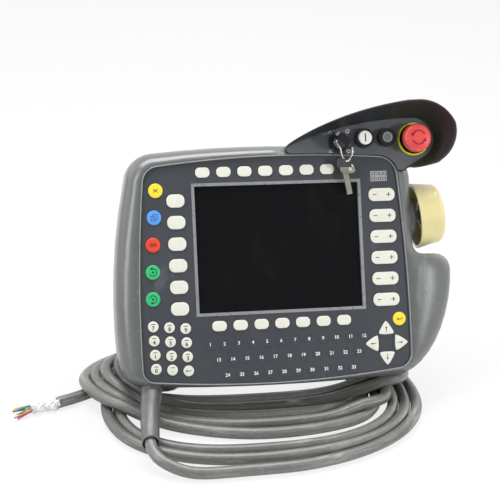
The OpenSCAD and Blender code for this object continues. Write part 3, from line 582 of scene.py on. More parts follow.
def makeBoot():
    # tapered sleeve: its radius falls evenly along its length, rolls over at the open end and
    # runs back inside, so that the cable comes out of a dark ring; the end is cut at a slant
    sides = 48
    path = onTable(spline(cable["boot"], 1.5))
    n = len(path)
    outside = np.linspace(*cable["bootRadii"], n) / 1000
    verts, faces, uv = tube(path, outside, sides)
    ahead = unit(path[n - 1] - path[n - 3])
    rings = verts[:-2].reshape(n, sides, 3)
    centre = path[n - 1]
    roll = [(0.985, 0.0006), (0.93, 0.001), (0.87, 0.0008), (0.83, 0), (0.83, -0.004), (0.8, -0.009), (0.3, -0.009)]
    lip = [centre + (rings[-1] - centre) * k + ahead * d for k, d in roll]
    rings = np.concatenate([rings, np.array(lip)])
    slant = ease((np.arange(len(rings)) - n + 9) / 9)[:, None, None]
    lift = (rings[..., 2:] - centre[2]) * slant
    rings = rings - ahead * lift * 0.35
    rows = len(rings)
    run = np.concatenate([uv[:n * sides:sides, 0], uv[(n - 1) * sides, 0] + 0.001 * np.arange(1, len(roll) + 1)])
    uv = np.stack(np.broadcast_arrays(run[:, None], np.arange(sides) / sides), -1).reshape(-1, 2)
    faces = [f[::-1] for f in capped(rows, sides)]
    piece = meshPiece("cableBoot", rings, faces, "pendant", "boot_grey", uv=uv)
    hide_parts("cable_boot")
    return piece


cores = {
    "seed": 7, "radius": 0.9, "fleece": [(-219, 40.5, 6), (-228, 38.5, 6), (-240, 36, 6.5), (-247, 34.3, 6)],
    "colours": [(206, 60, 50), (226, 196, 60), (70, 120, 190), (90, 160, 90), (200, 120, 60), (190, 110, 170),
                (60, 60, 62), (222, 222, 218), (150, 100, 60)],
}


def makeCores():
    # torn fleece and screen: a short tube whose radius wanders by sums of sines, then single
    # wires that fan out and droop to the table
    rng = np.random.default_rng(cores["seed"])
    path = onTable(spline(cores["fleece"], 0.6))
    u = np.linspace(0, 1, len(path))
    radius = 0.0058 + 0.0014 * np.sin(u * 9) * u - 0.002 * ease((u - 0.7) / 0.3)

    def torn(i, a):
        return (1 + 0.16 * np.sin(3 * a + i * 0.31) + 0.12 * np.sin(7 * a - i * 0.52)
                + 0.08 * np.sin(11 * a + i * 0.9))

    verts, faces, uv = tube(path, radius, 48, torn)
    verts[:, 2] = np.maximum(verts[:, 2], 0.0004)
    fleece = meshPiece("coreFleece", verts, faces, "pendant", "core_fleece", uv=uv)
    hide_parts("cable_cores")
    wires = []
    t, c, s = around(len(cores["colours"]))
    for k, colour in enumerate(cores["colours"]):
        out, rise = c[k] * 3.2, s[k] * 3.0
        reach = -258 - rng.uniform(0, 6)
        fan = 30 + out * 2.6 + rng.uniform(-1, 1)
        route = [(-236, 36.8 + out * 0.7, 6 + rise * 0.7), (-244, 35 + out, 6 + rise),
                 (-251, 32.5 + out * 1.8, 5 + rise), (reach, fan, max(1.2, 3 + rise * 0.8))]
        verts, faces, uv = tube(onTable(spline(route, 1.0)), cores["radius"] / 1000, 10)
        name = "coreWire%d" % k
        wires.append(meshPiece(name, verts, faces, "pendant", "core_fleece", uv=uv,
                               paint=moulded(name, linear(*colour), 0.4, 0.1)))
    return [fleece] + wires


cablePiece, cablePath = makeCable()
bootPiece = makeBoot()
corePieces = makeCores()
cableLength = float(np.linalg.norm(np.diff(cablePath, axis=0), axis=1).sum())
print("cable laid: %.2f m" % cableLength)

# Shells


def smoothShell(node, name, sharp):
    # the same skin with its doubles merged, shaded smooth where it bends gently
    source = nodes[node]
    work = bmesh.new()
    work.from_mesh(source.data)
    bmesh.ops.remove_doubles(work, verts=work.verts, dist=2e-6)
    mesh = bpy.data.meshes.new(name)
    work.to_mesh(mesh)
    work.free()
    mesh.shade_smooth()
    mesh.set_sharp_from_angle(angle=math.radians(sharp))
    mesh.materials.clear()
    mesh.materials.append(source.data.materials[0])
    piece = placed(name, mesh)
    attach(piece, source["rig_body"])
    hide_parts(node)
    even = piece.modifiers.new("even", "WEIGHTED_NORMAL")
    even.keep_sharp = True


smoothShell("front_housing", "frontHousing", 35)
smoothShell("rear_housing", "rearHousing", 35)
print("shells smoothed")


def rotated(points, degrees):
    # points turned about the origin
    c, s = math.cos(math.radians(degrees)), math.sin(math.radians(degrees))
    return np.asarray(points, float) @ [[c, s], [-s, c]]


def outwards(loop):
    # unit normals of a closed outline that runs anticlockwise
    ahead = np.roll(loop, -1, 0) - np.roll(loop, 1, 0)
    return unit(np.stack([ahead[:, 1], -ahead[:, 0]], -1))


def arc(centre, radius, start, end, count):
    # points on a circle from one angle in degrees to another
    t = np.radians(np.linspace(start, end, count))
    return np.stack([centre[0] + radius * np.cos(t), centre[1] + radius * np.sin(t)], -1)


def bow(a, b, sag, count):
    # parabola between two points, sagging to the right of the way from one to the other
    u = np.linspace(0, 1, count + 2)[1:-1, None]
    d = b - a
    return a + u * d + 4 * u * (1 - u) * sag * unit(np.array([d[1], -d[0]]))


# corners of the key panel: centre and radius, from the foot on the left round to the top on the left
corners = {"footLeft": (-129, 19, 11), "footRight": (116, 23, 14), "topRight": (104, 201, 19),
           "topLeft": (-117, 200, 16)}
hood = {"droop": 3, "stop": (142, 237), "foot": (128, 210), "tip": (15, 229.5), "reach": 21.5, "corner": 4,
        "flare": 16, "wall": 3, "plate": 4, "seat": 1.5, "seam": -23.4, "height": 31, "gap": 2.02}


def inside(points, loop):
    # even-odd rule: how many sides of the loop lie to the right of each point
    x, y = points[:, 0, None], points[:, 1, None]
    ax, ay = loop[:, 0], loop[:, 1]
    bx, by = np.roll(ax, -1), np.roll(ay, -1)
    cross = (ay > y) != (by > y)
    with np.errstate(divide="ignore", invalid="ignore"):
        at = ax + (y - ay) * (bx - ax) / (by - ay)
    return (cross & (x < at)).sum(1) % 2 == 1


def makeHood():
    # leaf outline round the control plate; every cross-section runs up outside, rolls over the
    # lip and comes down inside, and is pushed outwards and upwards by a share that fades to
    # nothing at the tip and the foot
    right, left, gap = corners["topRight"], corners["topLeft"], hood["gap"]
    edge = arc(right[:2], right[2] + gap, 3, 86, 40)
    far = arc(left[:2], left[2] + gap, 94, 177, 8)
    edge = np.concatenate([edge, bow(edge[-1], far[0], 5.5, 160)])
    side = edge[0] + np.linspace(1, 0, 12, endpoint=False)[:, None] * (6, -60)
    keyPanel = np.concatenate([side, edge, far, [(-140, 50), (120, 50)]])
    foot = arc(hood["foot"], hood["corner"], 270, 318, 8)
    bend = arc(hood["stop"], hood["reach"], 318, 455, 90)
    tip = arc(hood["tip"], hood["corner"], 112, 250, 20)
    leaf = np.concatenate([foot, bow(foot[-1], bend[0], 0, 10), bend, bow(bend[-1], tip[0], 6, 90), tip])
    normal = outwards(leaf)
    x, y = leaf.T
    far = np.clip((x - hood["tip"][0] + hood["corner"]) / 120, 0.001, 1) ** 0.7
    high = np.where(x < hood["foot"][0], 1, np.clip((y - hood["foot"][1]) / 36, 0.001, 1) ** 0.6)
    share = far * high * np.r_[0, 0, np.ones(len(leaf) - 2)]
    share[-20:] *= np.linspace(1, 0, 20)
    keep = ~inside(leaf, keyPanel)
    leaf, normal, share = leaf[keep], normal[keep], share[keep]
    along = distances(leaf)
    full = ease(np.minimum(along, along[-1] - along) / 4)
    # back along the panel's edge
    inner = edge[inside(edge, leaf)][::-1]
    outline = np.concatenate([leaf, inner])
    normal = np.concatenate([normal, np.zeros_like(inner)])
    share = np.concatenate([share, np.zeros(len(inner))])
    full = np.concatenate([full, np.zeros(len(inner))])
    flare, wall, plate, tall = hood["flare"], hood["wall"], hood["plate"], hood["height"] - hood["plate"]
    # offset, extra offset, height, extra height of each ring
    outer = [(1, 2, -6, 0), (1, 6, -2.5, 3.2), (1, 10.2, 1, 8), (1, 14.6, 2.5, 16),
             (1, flare + wall - 1.2, plate, tall - 2)]
    lip = [(0.95, flare + wall - 1.2, plate, tall - 1), (0.85, flare + wall - 1.5, plate, tall - 0.3),
           (0.7, flare + 1.2, plate, tall), (0.5, flare + 0.4, plate, tall - 0.3), (0.4, flare, plate, tall - 1)]
    bowl = [(0.35, 13.6, plate, 20.2), (0.3, 9.92, plate, 13.5), (0.25, 6.1, plate, 7.6), (0.2, 3.2, plate, 3.24),
            (0.15, 1.2, plate, 0.9), (0.1, 0, plate, 0)]
    fine = np.array(outer + lip + bowl, float)
    s = np.linspace(0, len(fine) - 1, 46)
    fine = np.stack([np.interp(s, range(len(fine)), fine[:, k]) for k in range(4)], -1)
    fine[1:-1] = (fine[:-2] + 2 * fine[1:-1] + fine[2:]) / 4
    rings = np.concatenate([[(-0.5, 2, hood["seam"], 0), (1, 2, hood["seam"] + 1.5, 0)], fine,
                            [(0.1, 0, hood["seat"], 0)]])
    offset = rings[:, 0, None] * full + rings[:, 1, None] * share
    xy = outline + offset[..., None] * normal
    xy[..., 1] -= hood["droop"] * rings[:, 1, None] / flare * share
    z = rings[:, 2, None] + rings[:, 3, None] * share
    piece = meshPiece("hoodShell", faceAt(xy, z), capped(*z.shape), "pendant", "hood_black", sharp=40)
    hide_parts("hood_shell")
    print("hood: %d by %d" % z.shape)


makeHood()


def onNode(node):
    # lowest and highest corners of a CAD node in face coordinates
    part = nodes[node]
    v = np.zeros(len(part.data.vertices) * 3)
    part.data.vertices.foreach_get("co", v)
    p = v.reshape(-1, 3) - faceOrigin
    s, c = math.sin(face["lean"]), math.cos(face["lean"])
    local = np.stack([p[:, 0], p[:, 1] * s + p[:, 2] * c, p[:, 2] * s - p[:, 1] * c], -1) * 1000
    return local.min(0), local.max(0)


def turnedRing(name, centre, profile, slot, count=96):
    # closed profile of radius and height turned round an axis square to the face
    t, c, s = around(count)
    p = np.array(profile + profile[:1], float)
    verts = faceAt(centre + p[:, 0, None, None] * np.stack([c, s], -1), p[:, 1, None])
    return meshPiece(name, verts, gridFaces(len(p), count), "pendant", slot, sharp=40)


def makeCollar():
    # thin yellow ring standing round a dark sunk disc, a disc of painted shade under the red cap
    low, high = onNode("estop_collar")
    centre = (low + high)[:2] / 2
    r, z = (high - low)[0] / 2, hood["plate"]
    bead = [(r, z), (r, z + 1.6), (r - 0.3, z + 2.3), (r - 0.9, z + 2.5), (r - 1.5, z + 2.2), (r - 1.7, z + 1.4),
            (r - 1.7, z)]
    ring = turnedRing("stopRing", centre, bead, "stop_yellow")
    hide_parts("estop_collar")
    # painted shade: a dark disc laid inside the ring where the red cap's shadow falls
    shadeDisc = [(r - 1.6, z), (r - 1.6, z + 0.7), (10.6, z + 0.5), (10.6, z)]
    turnedRing("stopDish", centre, shadeDisc, "fitting_black")


makeCollar()


rim = {"grow": 0.7, "width": 0.65, "height": 0.5, "middle": 1.75}


def makeRimBead():
    # rounded edge of the housing round the key panel: four corner arcs joined by bowed sides,
    # with a small oval carried round them; it is paler than the housing, a painted highlight along the edge
    grow = rim["grow"]

    def turn(corner, start, end):
        return arc(corners[corner][:2], corners[corner][2] + grow, start, end, 12)

    a, b = turn("footLeft", 184, 263), turn("footRight", 277, 358)
    e, f = turn("topRight", 3, 86), turn("topLeft", 94, 177)
    u = np.linspace(0, 1, 42)[1:-1]
    side = np.stack([130 + grow - 7 * u + 10 * u * (1 - u), 23 + 178 * u], -1)
    loop = np.concatenate([a, bow(a[-1], b[0], 7, 40), b, side, e, bow(e[-1], f[0], 5.5, 40), f,
                           bow(f[-1], a[0], 3, 40)])
    t, c, s = around(12)
    xy = loop[:, None] + rim["width"] * c[:, None] * outwards(loop)[:, None]
    verts = faceAt(xy, rim["middle"] + rim["height"] * s)
    faces = gridFaces(len(loop) + 1, 12) % (len(loop) * 12)
    # painted highlight: the bead is paler than the housing so that it reads as a lit edge
    paint = moulded("rimGrey", linear(134, 136, 136), 0.26, 0.05, 0.05, 0.3, spec=0.7, coat=0.5)
    meshPiece("rimBead", verts, faces[:, ::-1], "pendant", "grey_housing", paint=paint)


makeRimBead()


# the collar's profile is radius and place along the joystick's axis
fairing = {"centre": (148, 161, -28), "axis": (0.9915, 0.0937, 0.0871),
           "profile": [(24.6, -10), (24.5, -5.4), (24.1, -3.6), (23.2, -2.2), (21.8, -1.4), (19.6, -1.1),
                       (19.6, -5), (24.6, -10)]}


def makeFairing():
    # rounded collar turned round the joystick's own axis, between the housing and the cap
    centre, axis = np.array(fairing["centre"]), np.array(fairing["axis"])
    side = unit(np.cross(axis, [0, 0, 1.0]))
    t, c, s = around(96)
    circle = c[:, None] * side + s[:, None] * np.cross(side, axis)
    grid = np.array([centre + along * axis + radius * circle for radius, along in fairing["profile"]]) / 1000
    faces = gridFaces(len(grid), len(t))[:, ::-1]
    meshPiece("joystickFairing", onFace(grid), faces, "pendant", "grey_housing", sharp=50)


makeFairing()


# the hinge's place on the face, the slope of the plane that hangs from it, and two points in that
# plane: the key's neck, which the ring goes round, and the hole in the spare key's head
spareKey = {"eye": (71.4, 219.95, 9.8), "fall": (-0.0667, 0.1365), "neck": (-7.6, 15.55), "hole": (-1.1, -4.2),
            "holeRadius": 1.75, "wire": 0.78}


def hanging(points, lift):
    # points about the spare key's own hinge, on the sloping plane in which ring and key hang
    p = np.asarray(points, float)
    z = spareKey["eye"][2] + p @ np.array(spareKey["fall"]) + lift
    return faceAt(p + spareKey["eye"][:2], z)


def makeRing():
    # wire ring: round the key's neck at the top, and through the spare key's head at the bottom,
    # in front of it on one side and behind it on the other
    neck = np.array(spareKey["neck"])
    top = neck + arc((0, 0), 3.5, 20, 215, 9)
    hole = np.array(spareKey["hole"])
    path = np.concatenate([top, [(-7.4, 8.5), (-6.2, 4.5), (-5, 0.5)],
                           [hole + (-1.6, 0.8), hole + (0, 0.2), hole + (1.6, 1)],
                           [(3.4, 1), (5, 4.8), (4.6, 9), (1.6, 13)]])
    lift = np.zeros(len(path))
    lift[-10:-4] = -0.6, -1.9, -1.6, 0.2, 2.0, 1.9
    lift[-4:] = 0.6, 0.2, 0, 0
    loop = np.concatenate([path, lift[:, None]], -1)
    fine = spline(np.concatenate([loop[-2:], loop, loop[:2]]), 0.5)
    start = np.argmin(np.linalg.norm(fine - loop[0], axis=1))
    stop = start + 40 + np.argmin(np.linalg.norm(fine[start + 40:] - loop[0], axis=1))
    line = hanging(fine[start:stop + 1, :2], fine[start:stop + 1, 2])
    verts, faces, uv = tube(line, spareKey["wire"] / 1000, 14)
    ring = meshPiece("keyRing", verts, faces, "key_loop", "wire_metal", uv=uv)
    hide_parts("key_ring")


def slab(name, outline, half):
    # flat piece of metal between two copies of an outline, with its edges turned over a little
    o = np.asarray(outline, float)
    middle = o.mean(0)
    rings = [(0.96, -half), (1, 0.2 - half), (1, half - 0.2), (0.96, half)]
    grid = np.array([hanging(middle + (o - middle) * k, np.full(len(o), z)) for k, z in rings])
    meshPiece(name, grid, capped(len(rings), len(o)), "spare", "key_metal", False)


def makeSpareKey():
    # dark moulded head with a round hole, its outline met by rays from the hole; then neck, blade
    # and a bright clip folded round the head's foot, all flat pieces with broken edges
    hole = np.array(spareKey["hole"])
    rays = 72
    t, c, s = around(rays)
    right, left, top, foot = 4.6, -10.2, 2.6, -5.6
    reach = np.minimum(np.where(c > 0, right / np.maximum(c, 1e-6), left / np.minimum(c, -1e-6)),
                       np.where(s > 0, top / np.maximum(s, 1e-6), foot / np.minimum(s, -1e-6)))
    ray = np.stack([c, s], -1)
    bore = np.full(rays, spareKey["holeRadius"])
    section = [(reach - 0.25, 1.1), (bore, 1.1), (bore, -1.1), (reach - 0.25, -1.1), (reach, -0.8), (reach, 0.8)]
    grid = np.array([hanging(hole + r[:, None] * ray, np.full(rays, z)) for r, z in section])
    faces = gridFaces(len(section) + 1, rays) % (len(section) * rays)
    head = meshPiece("spareHead", grid, faces, "spare", "key_black", False,
                     paint=moulded("headGrey", linear(66, 68, 70), 0.4, 0.15))
    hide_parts("spare_key")
    slab("spareNeck", [(-5.6, -16.4), (1.3, -15.6), (0.4, -8.9), (-8.6, -9.4)], 0.6)
    slab("spareBlade", [(-1.2, -36), (-0.4, -36.6), (3.6, -36), (4.4, -35.2), (0.2, -15.2), (-5.4, -15.6)], 0.9)
    slab("spareClip", [(-1, -15.7), (1.6, -16.1), (6.4, -15.1), (7.3, -12.4), (4.6, -9), (3.6, -9), (5.2, -12.4),
                       (2.4, -13.8), (-0.4, -13.6)], 1.5)


makeRing()
makeSpareKey()

# Keys


def barrel(width, height, corner, count=48):
    # rounded rectangle: a corner arc about each of four centres
    t, c, s = around(count, 0.5)
    return np.stack([np.sign(c) * (width / 2 - corner) + corner * c,
                     np.sign(s) * (height / 2 - corner) + corner * s], -1)


def disc(diameter, count=36):
    # regular outline of many sides
    return np.stack(around(count)[1:], -1) * diameter / 2


def arrowKey(turn, count=48):
    # triangle with blunt corners: radius of a rounded three-sided form about its middle
    t, c, s = around(count)
    side = np.abs((t + math.pi / 3) % (2 * math.pi / 3) - math.pi / 3)
    radius = 5.1 / np.cos(math.pi / 3 - side)
    radius = (radius ** -5 + 8.9 ** -5) ** -0.2
    return rotated(np.stack([radius * c, radius * s * 1.08], -1), turn)


def pillows(name, outlines, centres, rise, paint):
    # key domes: each outline is drawn in towards its middle while the height follows a low
    # crown and a round shoulder, and closes underneath
    share = np.array([0.001, 0.35, 0.62, 0.8, 0.9, 0.955, 0.985, 1.0, 1.0, 0.5, 0.001])
    height = np.array([1.0, 0.995, 0.97, 0.93, 0.87, 0.76, 0.58, 0.3, 0, 0, 0]) * rise
    o = np.asarray(outlines, float)
    c = np.asarray(centres, float)
    flat = c[:, None, None] + share[None, :, None, None] * o[:, None]
    keys, rows, columns = flat.shape[:3]
    faces = [f[::-1] for k in range(keys) for f in capped(rows, columns, k * rows * columns)]
    meshPiece(name, faceAt(flat, height[:, None]), faces, "pendant", "key_foil", paint=paint)


# millimetres on the face; number and letter keys: first spot, step to the right, step to the next row
panel = {
    "pitch": 21, "firstY": 182.5, "statusX": -101.75, "jogX": 107.25, "menuX": -74, "menuY": 209.5,
    "softX": -63.6, "softY": 59, "status": (18.5, 14), "jog": (28, 14), "menu": (15, 11), "keyRise": 0.85,
    "number": [(-128.75, 61.5), (15.8, -1.6), (0.4, -13.7)], "numberSize": 11,
    "letter": [(-73.5, 41.5), (14.2, 0.1), (8, -15.2)], "letterTop": 0.2, "letterRing": (5.0, 0.28, 0.15),
    "rounds": [(-121, 193), (-123.5, 166.8), (-125.6, 140.4), (-126.8, 114), (-127.8, 87.9)], "roundSize": 15,
    "enter": (119.65, 57.6), "enterSize": 12.5, "arrows": (105.5, 34), "arrowReach": 13.6,
}
columnY = [panel["firstY"] - i * panel["pitch"] for i in range(6)]


def keySpots(kind, rows):
    # rows of keys, each row a number of steps from its own first spot
    first, across, down = np.array(panel[kind], float)
    return [tuple(first + across * i + down * j) for j, count in enumerate(rows) for i in range(count)]


numberSpots = keySpots("number", (3, 3, 3, 3))
letterSpots = keySpots("letter", (12, 11, 10))
arrowSpots = [panel["arrows"] + rotated((panel["arrowReach"], 0), 90 * k) for k in range(4)]
whiteKeys = keyCap("keyWhite", greys["ivory"])


def keyRow(name, size, spots):
    # white keys of one size, with a narrow gap round each
    outline = barrel(size[0] - 0.4, size[1] - 0.9, 0.42 * size[1])
    pillows(name, [outline] * len(spots), spots, panel["keyRise"], whiteKeys)


keyRow("statusKeys", panel["status"], [(panel["statusX"], y) for y in columnY])
keyRow("jogKeys", panel["jog"], [(panel["jogX"], y) for y in columnY])
keyRow("menuKeys", panel["menu"], [(panel["menuX"] + panel["pitch"] * i, panel["menuY"]) for i in range(8)])
keyRow("softKeys", panel["menu"], [(panel["softX"] + panel["pitch"] * i, panel["softY"]) for i in range(7)])
pillows("numberKeys", [disc(panel["numberSize"] - 0.4)] * 12, numberSpots, panel["keyRise"], whiteKeys)
pillows("arrowKeys", [arrowKey(90 * k) for k in range(4)], arrowSpots, panel["keyRise"], whiteKeys)
roundInks = {"yellow": [0], "blue": [1], "red": [2], "green": [3, 4]}
for colour, which in roundInks.items():
    spots = [panel["rounds"][k] for k in which]
    pillows(colour + "Keys", [disc(panel["roundSize"] - 0.7)] * len(which), spots, panel["keyRise"] + 0.25,
            keyCap("key" + colour.capitalize(), keyColours[colour]))
pillows("enterKey", [disc(panel["enterSize"] + 0.9)], [panel["enter"]], panel["keyRise"] + 0.15,
        keyCap("keyEnter", keyColours["yellow"]))


def letterRings():
    # shallow raised ring round each small key: a half-round bead swept round a circle
    middle, bead, foot = panel["letterRing"]
    t, c, s = around(40)
    b = np.linspace(0, math.pi, 5)
    ring = (middle + bead * np.cos(b))[:, None, None] * np.stack([c, s], -1)
    height = foot + bead * np.sin(b)[:, None]
    verts = faceAt(np.array(letterSpots)[:, None, None] + ring, height)
    faces = np.concatenate([gridFaces(5, 40, k * 200) for k in range(len(letterSpots))])
    meshPiece("letterRings", verts, faces, "pendant", "key_foil")


letterRings()
print("keys domed")

# Printed marks


class Ink:
    # flat strokes and figures on the face, gathered into one thin piece
    def __init__(self):
        self.verts, self.faces, self.count = [], [], 0

    def put(self, verts, faces, height):
        # flat faces at one height
        v = np.asarray(verts, float).reshape(-1, 2)
        self.verts.append(np.c_[v, np.full(len(v), height)])
        self.faces += [[int(i) + self.count for i in f] for f in faces]
        self.count += len(v)

    def stroke(self, points, width, height, close=False):
        # ribbon of even width along a line: each point moves half the width to both sides
        p = np.asarray(points, float)
        ahead = unit(np.roll(p, -1, 0) - np.roll(p, 1, 0) if close else np.gradient(p, axis=0))
        side = np.stack([-ahead[:, 1], ahead[:, 0]], -1) * width / 2
        n = len(p)
        v = np.concatenate([p + side, p - side])
        last = n if close else n - 1
        self.put(v, [[i, n + i, n + (i + 1) % n, (i + 1) % n] for i in range(last)], height)

    def strokes(self, spot, lines, width, height):
        # lines written about a spot
        for line in lines:
            self.stroke(np.add(line, spot), width, height)

    def arc(self, centre, radius, start, end, width, height, count=20):
        self.stroke(arc(centre, radius, start, end, count), width, height)

    def head(self, tip, turn, size, height):
        # arrow head that points the way of the turn
        spread = [(0, 0), (-size, 0.55 * size), (-size, -0.55 * size)]
        self.put(tip + rotated(spread, turn), [[0, 1, 2]], height)

    def figure(self, text, centre, size, height):
        v, f = lettering(text)
        self.put(np.array(centre) + v * size, f, height)

    def piece(self, name, colour, body="pendant", slot="key_foil", thickness=0.04):
        # everything gathered so far, thickened downwards
        verts = onFace(np.concatenate(self.verts) / 1000)
        paint = moulded(name, colour, 0.5, 0.1, 0.05, 0.4, tone(colour, 0.75))
        made = meshPiece(name, verts, self.faces, body, slot, False, paint=paint)
        thick = made.modifiers.new("thick", "SOLIDIFY")
        thick.thickness = thickness / 1000
        thick.offset = -1


figureMeshes = {}


def lettering(text):
    # plain figures as a flat mesh, centred, with a height of about one
    if text not in figureMeshes:
        curve = bpy.data.curves.new("figure", "FONT")
        curve.body = text
        curve.size = 1.4
        curve.align_x, curve.align_y = "CENTER", "CENTER"
        curve.resolution_u = 3
        curve.offset = 0.03
        holder = placed("figure", curve)
        bpy.context.view_layer.update()
        mesh = holder.to_mesh()
        v = np.zeros(len(mesh.vertices) * 3)
        mesh.vertices.foreach_get("co", v)
        v = v.reshape(-1, 3)[:, :2]
        v = v - (v.min(0) + v.max(0)) / 2
        figureMeshes[text] = (v, [list(p.vertices) for p in mesh.polygons])
        holder.to_mesh_clear()
        bpy.data.objects.remove(holder)
    return figureMeshes[text]


def printDark():
    # minus and plus, numbers, arrows, and plain signs on the round keys
    ink = Ink()
    top = panel["keyRise"] + 0.03
    signs = [(-9.4, 0), (-5.4, 0)], [(5, 0), (9.4, 0)], [(7.2, -2.2), (7.2, 2.2)]
    for y in columnY:
        ink.strokes((panel["jogX"], y), signs, 0.75, top - 0.02)
    for number, spot in zip("7894561230.", numberSpots):
        ink.figure(number, np.add(spot, (0, -1.5)), 3.9, top)
        ink.strokes(spot, [[(-2, 2.3), (2, 2.3)]], 0.7, top)
    ink.strokes(numberSpots[-1], [[(-2.6, 0), (2.6, 0)]], 0.6, top)
    ink.head(np.add(numberSpots[-1], (-3.2, 0)), 180, 2, top)
    for k, spot in enumerate(arrowSpots):
        ink.stroke(spot + rotated([(-2.6, 0), (1.6, 0)], 90 * k), 0.6, top)
        ink.head(spot + rotated((3.2, 0), 90 * k), 90 * k, 2.2, top)
    high = panel["keyRise"] + 0.29
    ink.strokes(panel["rounds"][0], [[(-2.2, -1.6), (2.2, 1.6)], [(-2.2, 1.6), (2.2, -1.6)]], 0.7, high)
    sheet = [(-2, -2.4), (2, -2.4), (2, 2.4), (-2, 2.4)]
    for shift in ((-0.8, -0.8), (1.1, 0.9)):
        ink.stroke(np.add(sheet, shift) + panel["rounds"][1], 0.6, high, True)
    ink.strokes(panel["rounds"][2], [[(-3.4, 0.9), (3.4, 0.9)], [(-3.4, -0.9), (3.4, -0.9)]], 0.9, high)
    for k, sense in ((3, 1), (4, -1)):
        spot = panel["rounds"][k]
        ink.arc(spot, 3.6, 200 * sense, 470 * sense, 0.8, high)
        ink.head(spot + rotated((3.6, 1.6 * sense), 470 * sense), (470 + 90) * sense, 2.6, high)
        ink.arc(spot, 0.6, 0, 360, 1.0, high)
    ink.strokes(panel["enter"], [[(2.8, 1.8), (2.8, -0.4), (-1.4, -0.4)]], 0.7, high - 0.1)
    ink.head(np.add(panel["enter"], (-3, -0.4)), 180, 2.2, high - 0.1)
    ink.piece("darkPrint", linear(38, 40, 44))


def printPale():
    # key numbers, a small table of six cells at the panel's top right, and four marks round the key switch
    ink = Ink()
    top = panel["letterTop"] + 0.05
    for k, (x, y) in enumerate(letterSpots):
        ink.figure(str(k + 1), (x, y), 3.3, top)
    left, right, low, high = 96.5, 113.8, 195.9, 206.4
    w, h, onFoil = (right - left) / 3 - 1, (high - low) / 2 - 1, 0.06
    for i in range(3):
        for j in range(2):
            a, b = left + (right - left) * i / 3 + 0.5, low + (high - low) * j / 2 + 0.5
            ink.stroke([(a, b), (a + w, b), (a + w, b + h), (a, b + h)], 0.45, onFoil, True)
            for share in (0.3, 0.65):
                ink.stroke([(a + w * share, b + 0.6), (a + w * share, b + h - 0.6)], 0.4, onFoil)
    plate = hood["plate"] + 0.06
    for k, (x, y) in enumerate([(55.8, 245.7), (73.9, 246.3), (55.6, 226.9), (74, 226.4)]):
        if k % 2:
            ink.arc((x, y), 1.7, 0, 360, 0.5, plate)
        else:
            ink.stroke([(x - 1.8, y - 1.2), (x + 1.8, y - 1.2), (x, y + 1.8)], 0.5, plate, True)
    ink.piece("palePrint", linear(236, 238, 238))


def printOn(node, name, colour, body, slot, draw):
    # marks just above the middle of a CAD node's highest face
    low, high = onNode(node)
    ink = Ink()
    draw(ink, tuple((low + high)[:2] / 2), high[2] + 0.03)
    ink.piece(name, colour, body, slot)


def stopArrows(ink, centre, top):
    # two curved arrows, one half a turn after the other
    for start in (25, 205):
        ink.arc(centre, 6.8, start, start + 130, 1.3, top)
        ink.head(centre + rotated((6.8, 2.6), start + 130), start + 220, 3.6, top)


def onBar(ink, centre, top):
    ink.stroke([(centre[0], centre[1] - 4), (centre[0], centre[1] + 4)], 1.3, top)


def offRing(ink, centre, top):
    ink.arc(centre, 4.3, 0, 360, 0.8, top, 40)


def offDisc(ink, centre, top):
    ink.put(np.array(centre) + disc(7.4), [range(36)], top)


printDark()
printPale()
printOn("estop_cap", "stopArrows", linear(150, 34, 44), "estop_head", "stop_red", stopArrows)
printOn("drives_on_button", "onBar", linear(50, 50, 52), "drives_on", "button_white", onBar)
printOn("drives_off_button", "offRing", linear(158, 162, 164), "drives_off", "button_dark", offRing)
printOn("drives_off_button", "offDisc", linear(104, 108, 110), "drives_off", "button_dark", offDisc)
print("marks printed")

# Stage


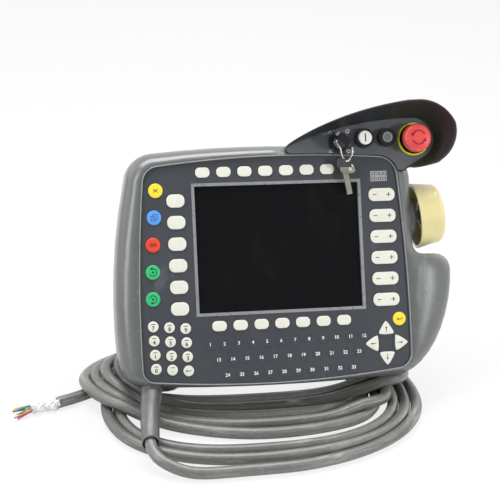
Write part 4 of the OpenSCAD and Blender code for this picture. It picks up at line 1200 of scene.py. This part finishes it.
def makeFloor():
    # broad pale sheet, brighter to the camera than to the object
    size, below = 6.0, -0.0004
    mesh = bpy.data.meshes.new("floor")
    mesh.from_pydata([(-size, -size, below), (size, -size, below), (size, size, below), (-size, size, below)], [],
                     [(0, 1, 2, 3)])
    floor = placed("floor", mesh)
    paint = Paint("floorSheet")
    paint.set(Base_Color=(0.8, 0.8, 0.8), Roughness=0.7, Specular_IOR_Level=0.2)
    path = paint.add("LightPath", {}, {}, "Is Camera Ray")
    gloss = paint.add("LightPath", {}, {}, "Is Glossy Ray")
    glow = paint.add("Emission", {}, {"Color": (1, 1, 1, 1), "Strength": 1.0})
    share = path * 0.82 + gloss * 0.3
    mixed = paint.add("MixShader", {}, {0: share, 1: Wire(paint, paint.shader.outputs[0]), 2: glow})
    paint.tree.links.new(mixed.socket, paint.tree.nodes["Material Output"].inputs[0])
    floor.data.materials.append(paint.material)


lamps = {
    "room": 0.3, "target": (0, 0, 0.12),
    "softBoxes": [
        ("overhead", (-0.1, 0.35, 1.5), (1.6, 0.7), 25),
        ("left", (-1.3, -0.5, 0.9), (0.4, 1.2), 8),
        ("right", (1.1, -0.95, 0.65), (0.25, 0.25), 1.8),
        ("flash", (1.1, -0.95, 0.65), (0.2, 0.2), 9.5),
    ],
}


def makeWorld():
    # white to the camera; to reflections it is dim in front and bright behind and at the sides
    room = Paint("room", True)
    bpy.context.scene.world = room.material
    way = room.add("TexCoord", {}, {}, "Generated")
    across = room.add("Math", {"operation": "ABSOLUTE"}, {0: room.add("SeparateXYZ", {}, {0: way}, 0)})
    behind = room.add("SeparateXYZ", {}, {0: way}, 1)
    mirror = room.between(across, 0.25, 0.85) * 0.7 + room.between(behind, -0.3, 0.4) * 0.9 + 0.2
    seen = room.add("LightPath", {}, {}, "Is Camera Ray") + room.add("LightPath", {}, {}, "Is Transmission Ray")
    gloss = room.add("LightPath", {}, {}, "Is Glossy Ray")
    level = seen + (1 - seen) * (gloss * mirror + (1 - gloss) * lamps["room"])
    room.tree.links.new(level.socket, room.shader.inputs["Strength"])
    room.shader.inputs["Color"].default_value = (1, 1, 1, 1)


def makeLamps():
    # soft boxes turned towards the object's middle; the flash lights but leaves no highlight
    for name, place, size, power in lamps["softBoxes"]:
        data = bpy.data.lights.new(name, "AREA")
        data.shape = "RECTANGLE"
        data.size, data.size_y = size
        data.energy = power
        lamp = placed(name, data)
        lamp.location = place
        lamp.visible_glossy = name != "flash"
        aim = np.array(lamps["target"]) - np.array(place)
        yaw = math.atan2(aim[1], aim[0]) - math.pi / 2
        pitch = math.atan2(math.hypot(aim[0], aim[1]), -aim[2])
        lamp.rotation_euler = (pitch, 0, yaw)


makeFloor()
makeWorld()
makeLamps()
bpy.context.scene.view_settings.view_transform = "Standard"
print("stage lit")
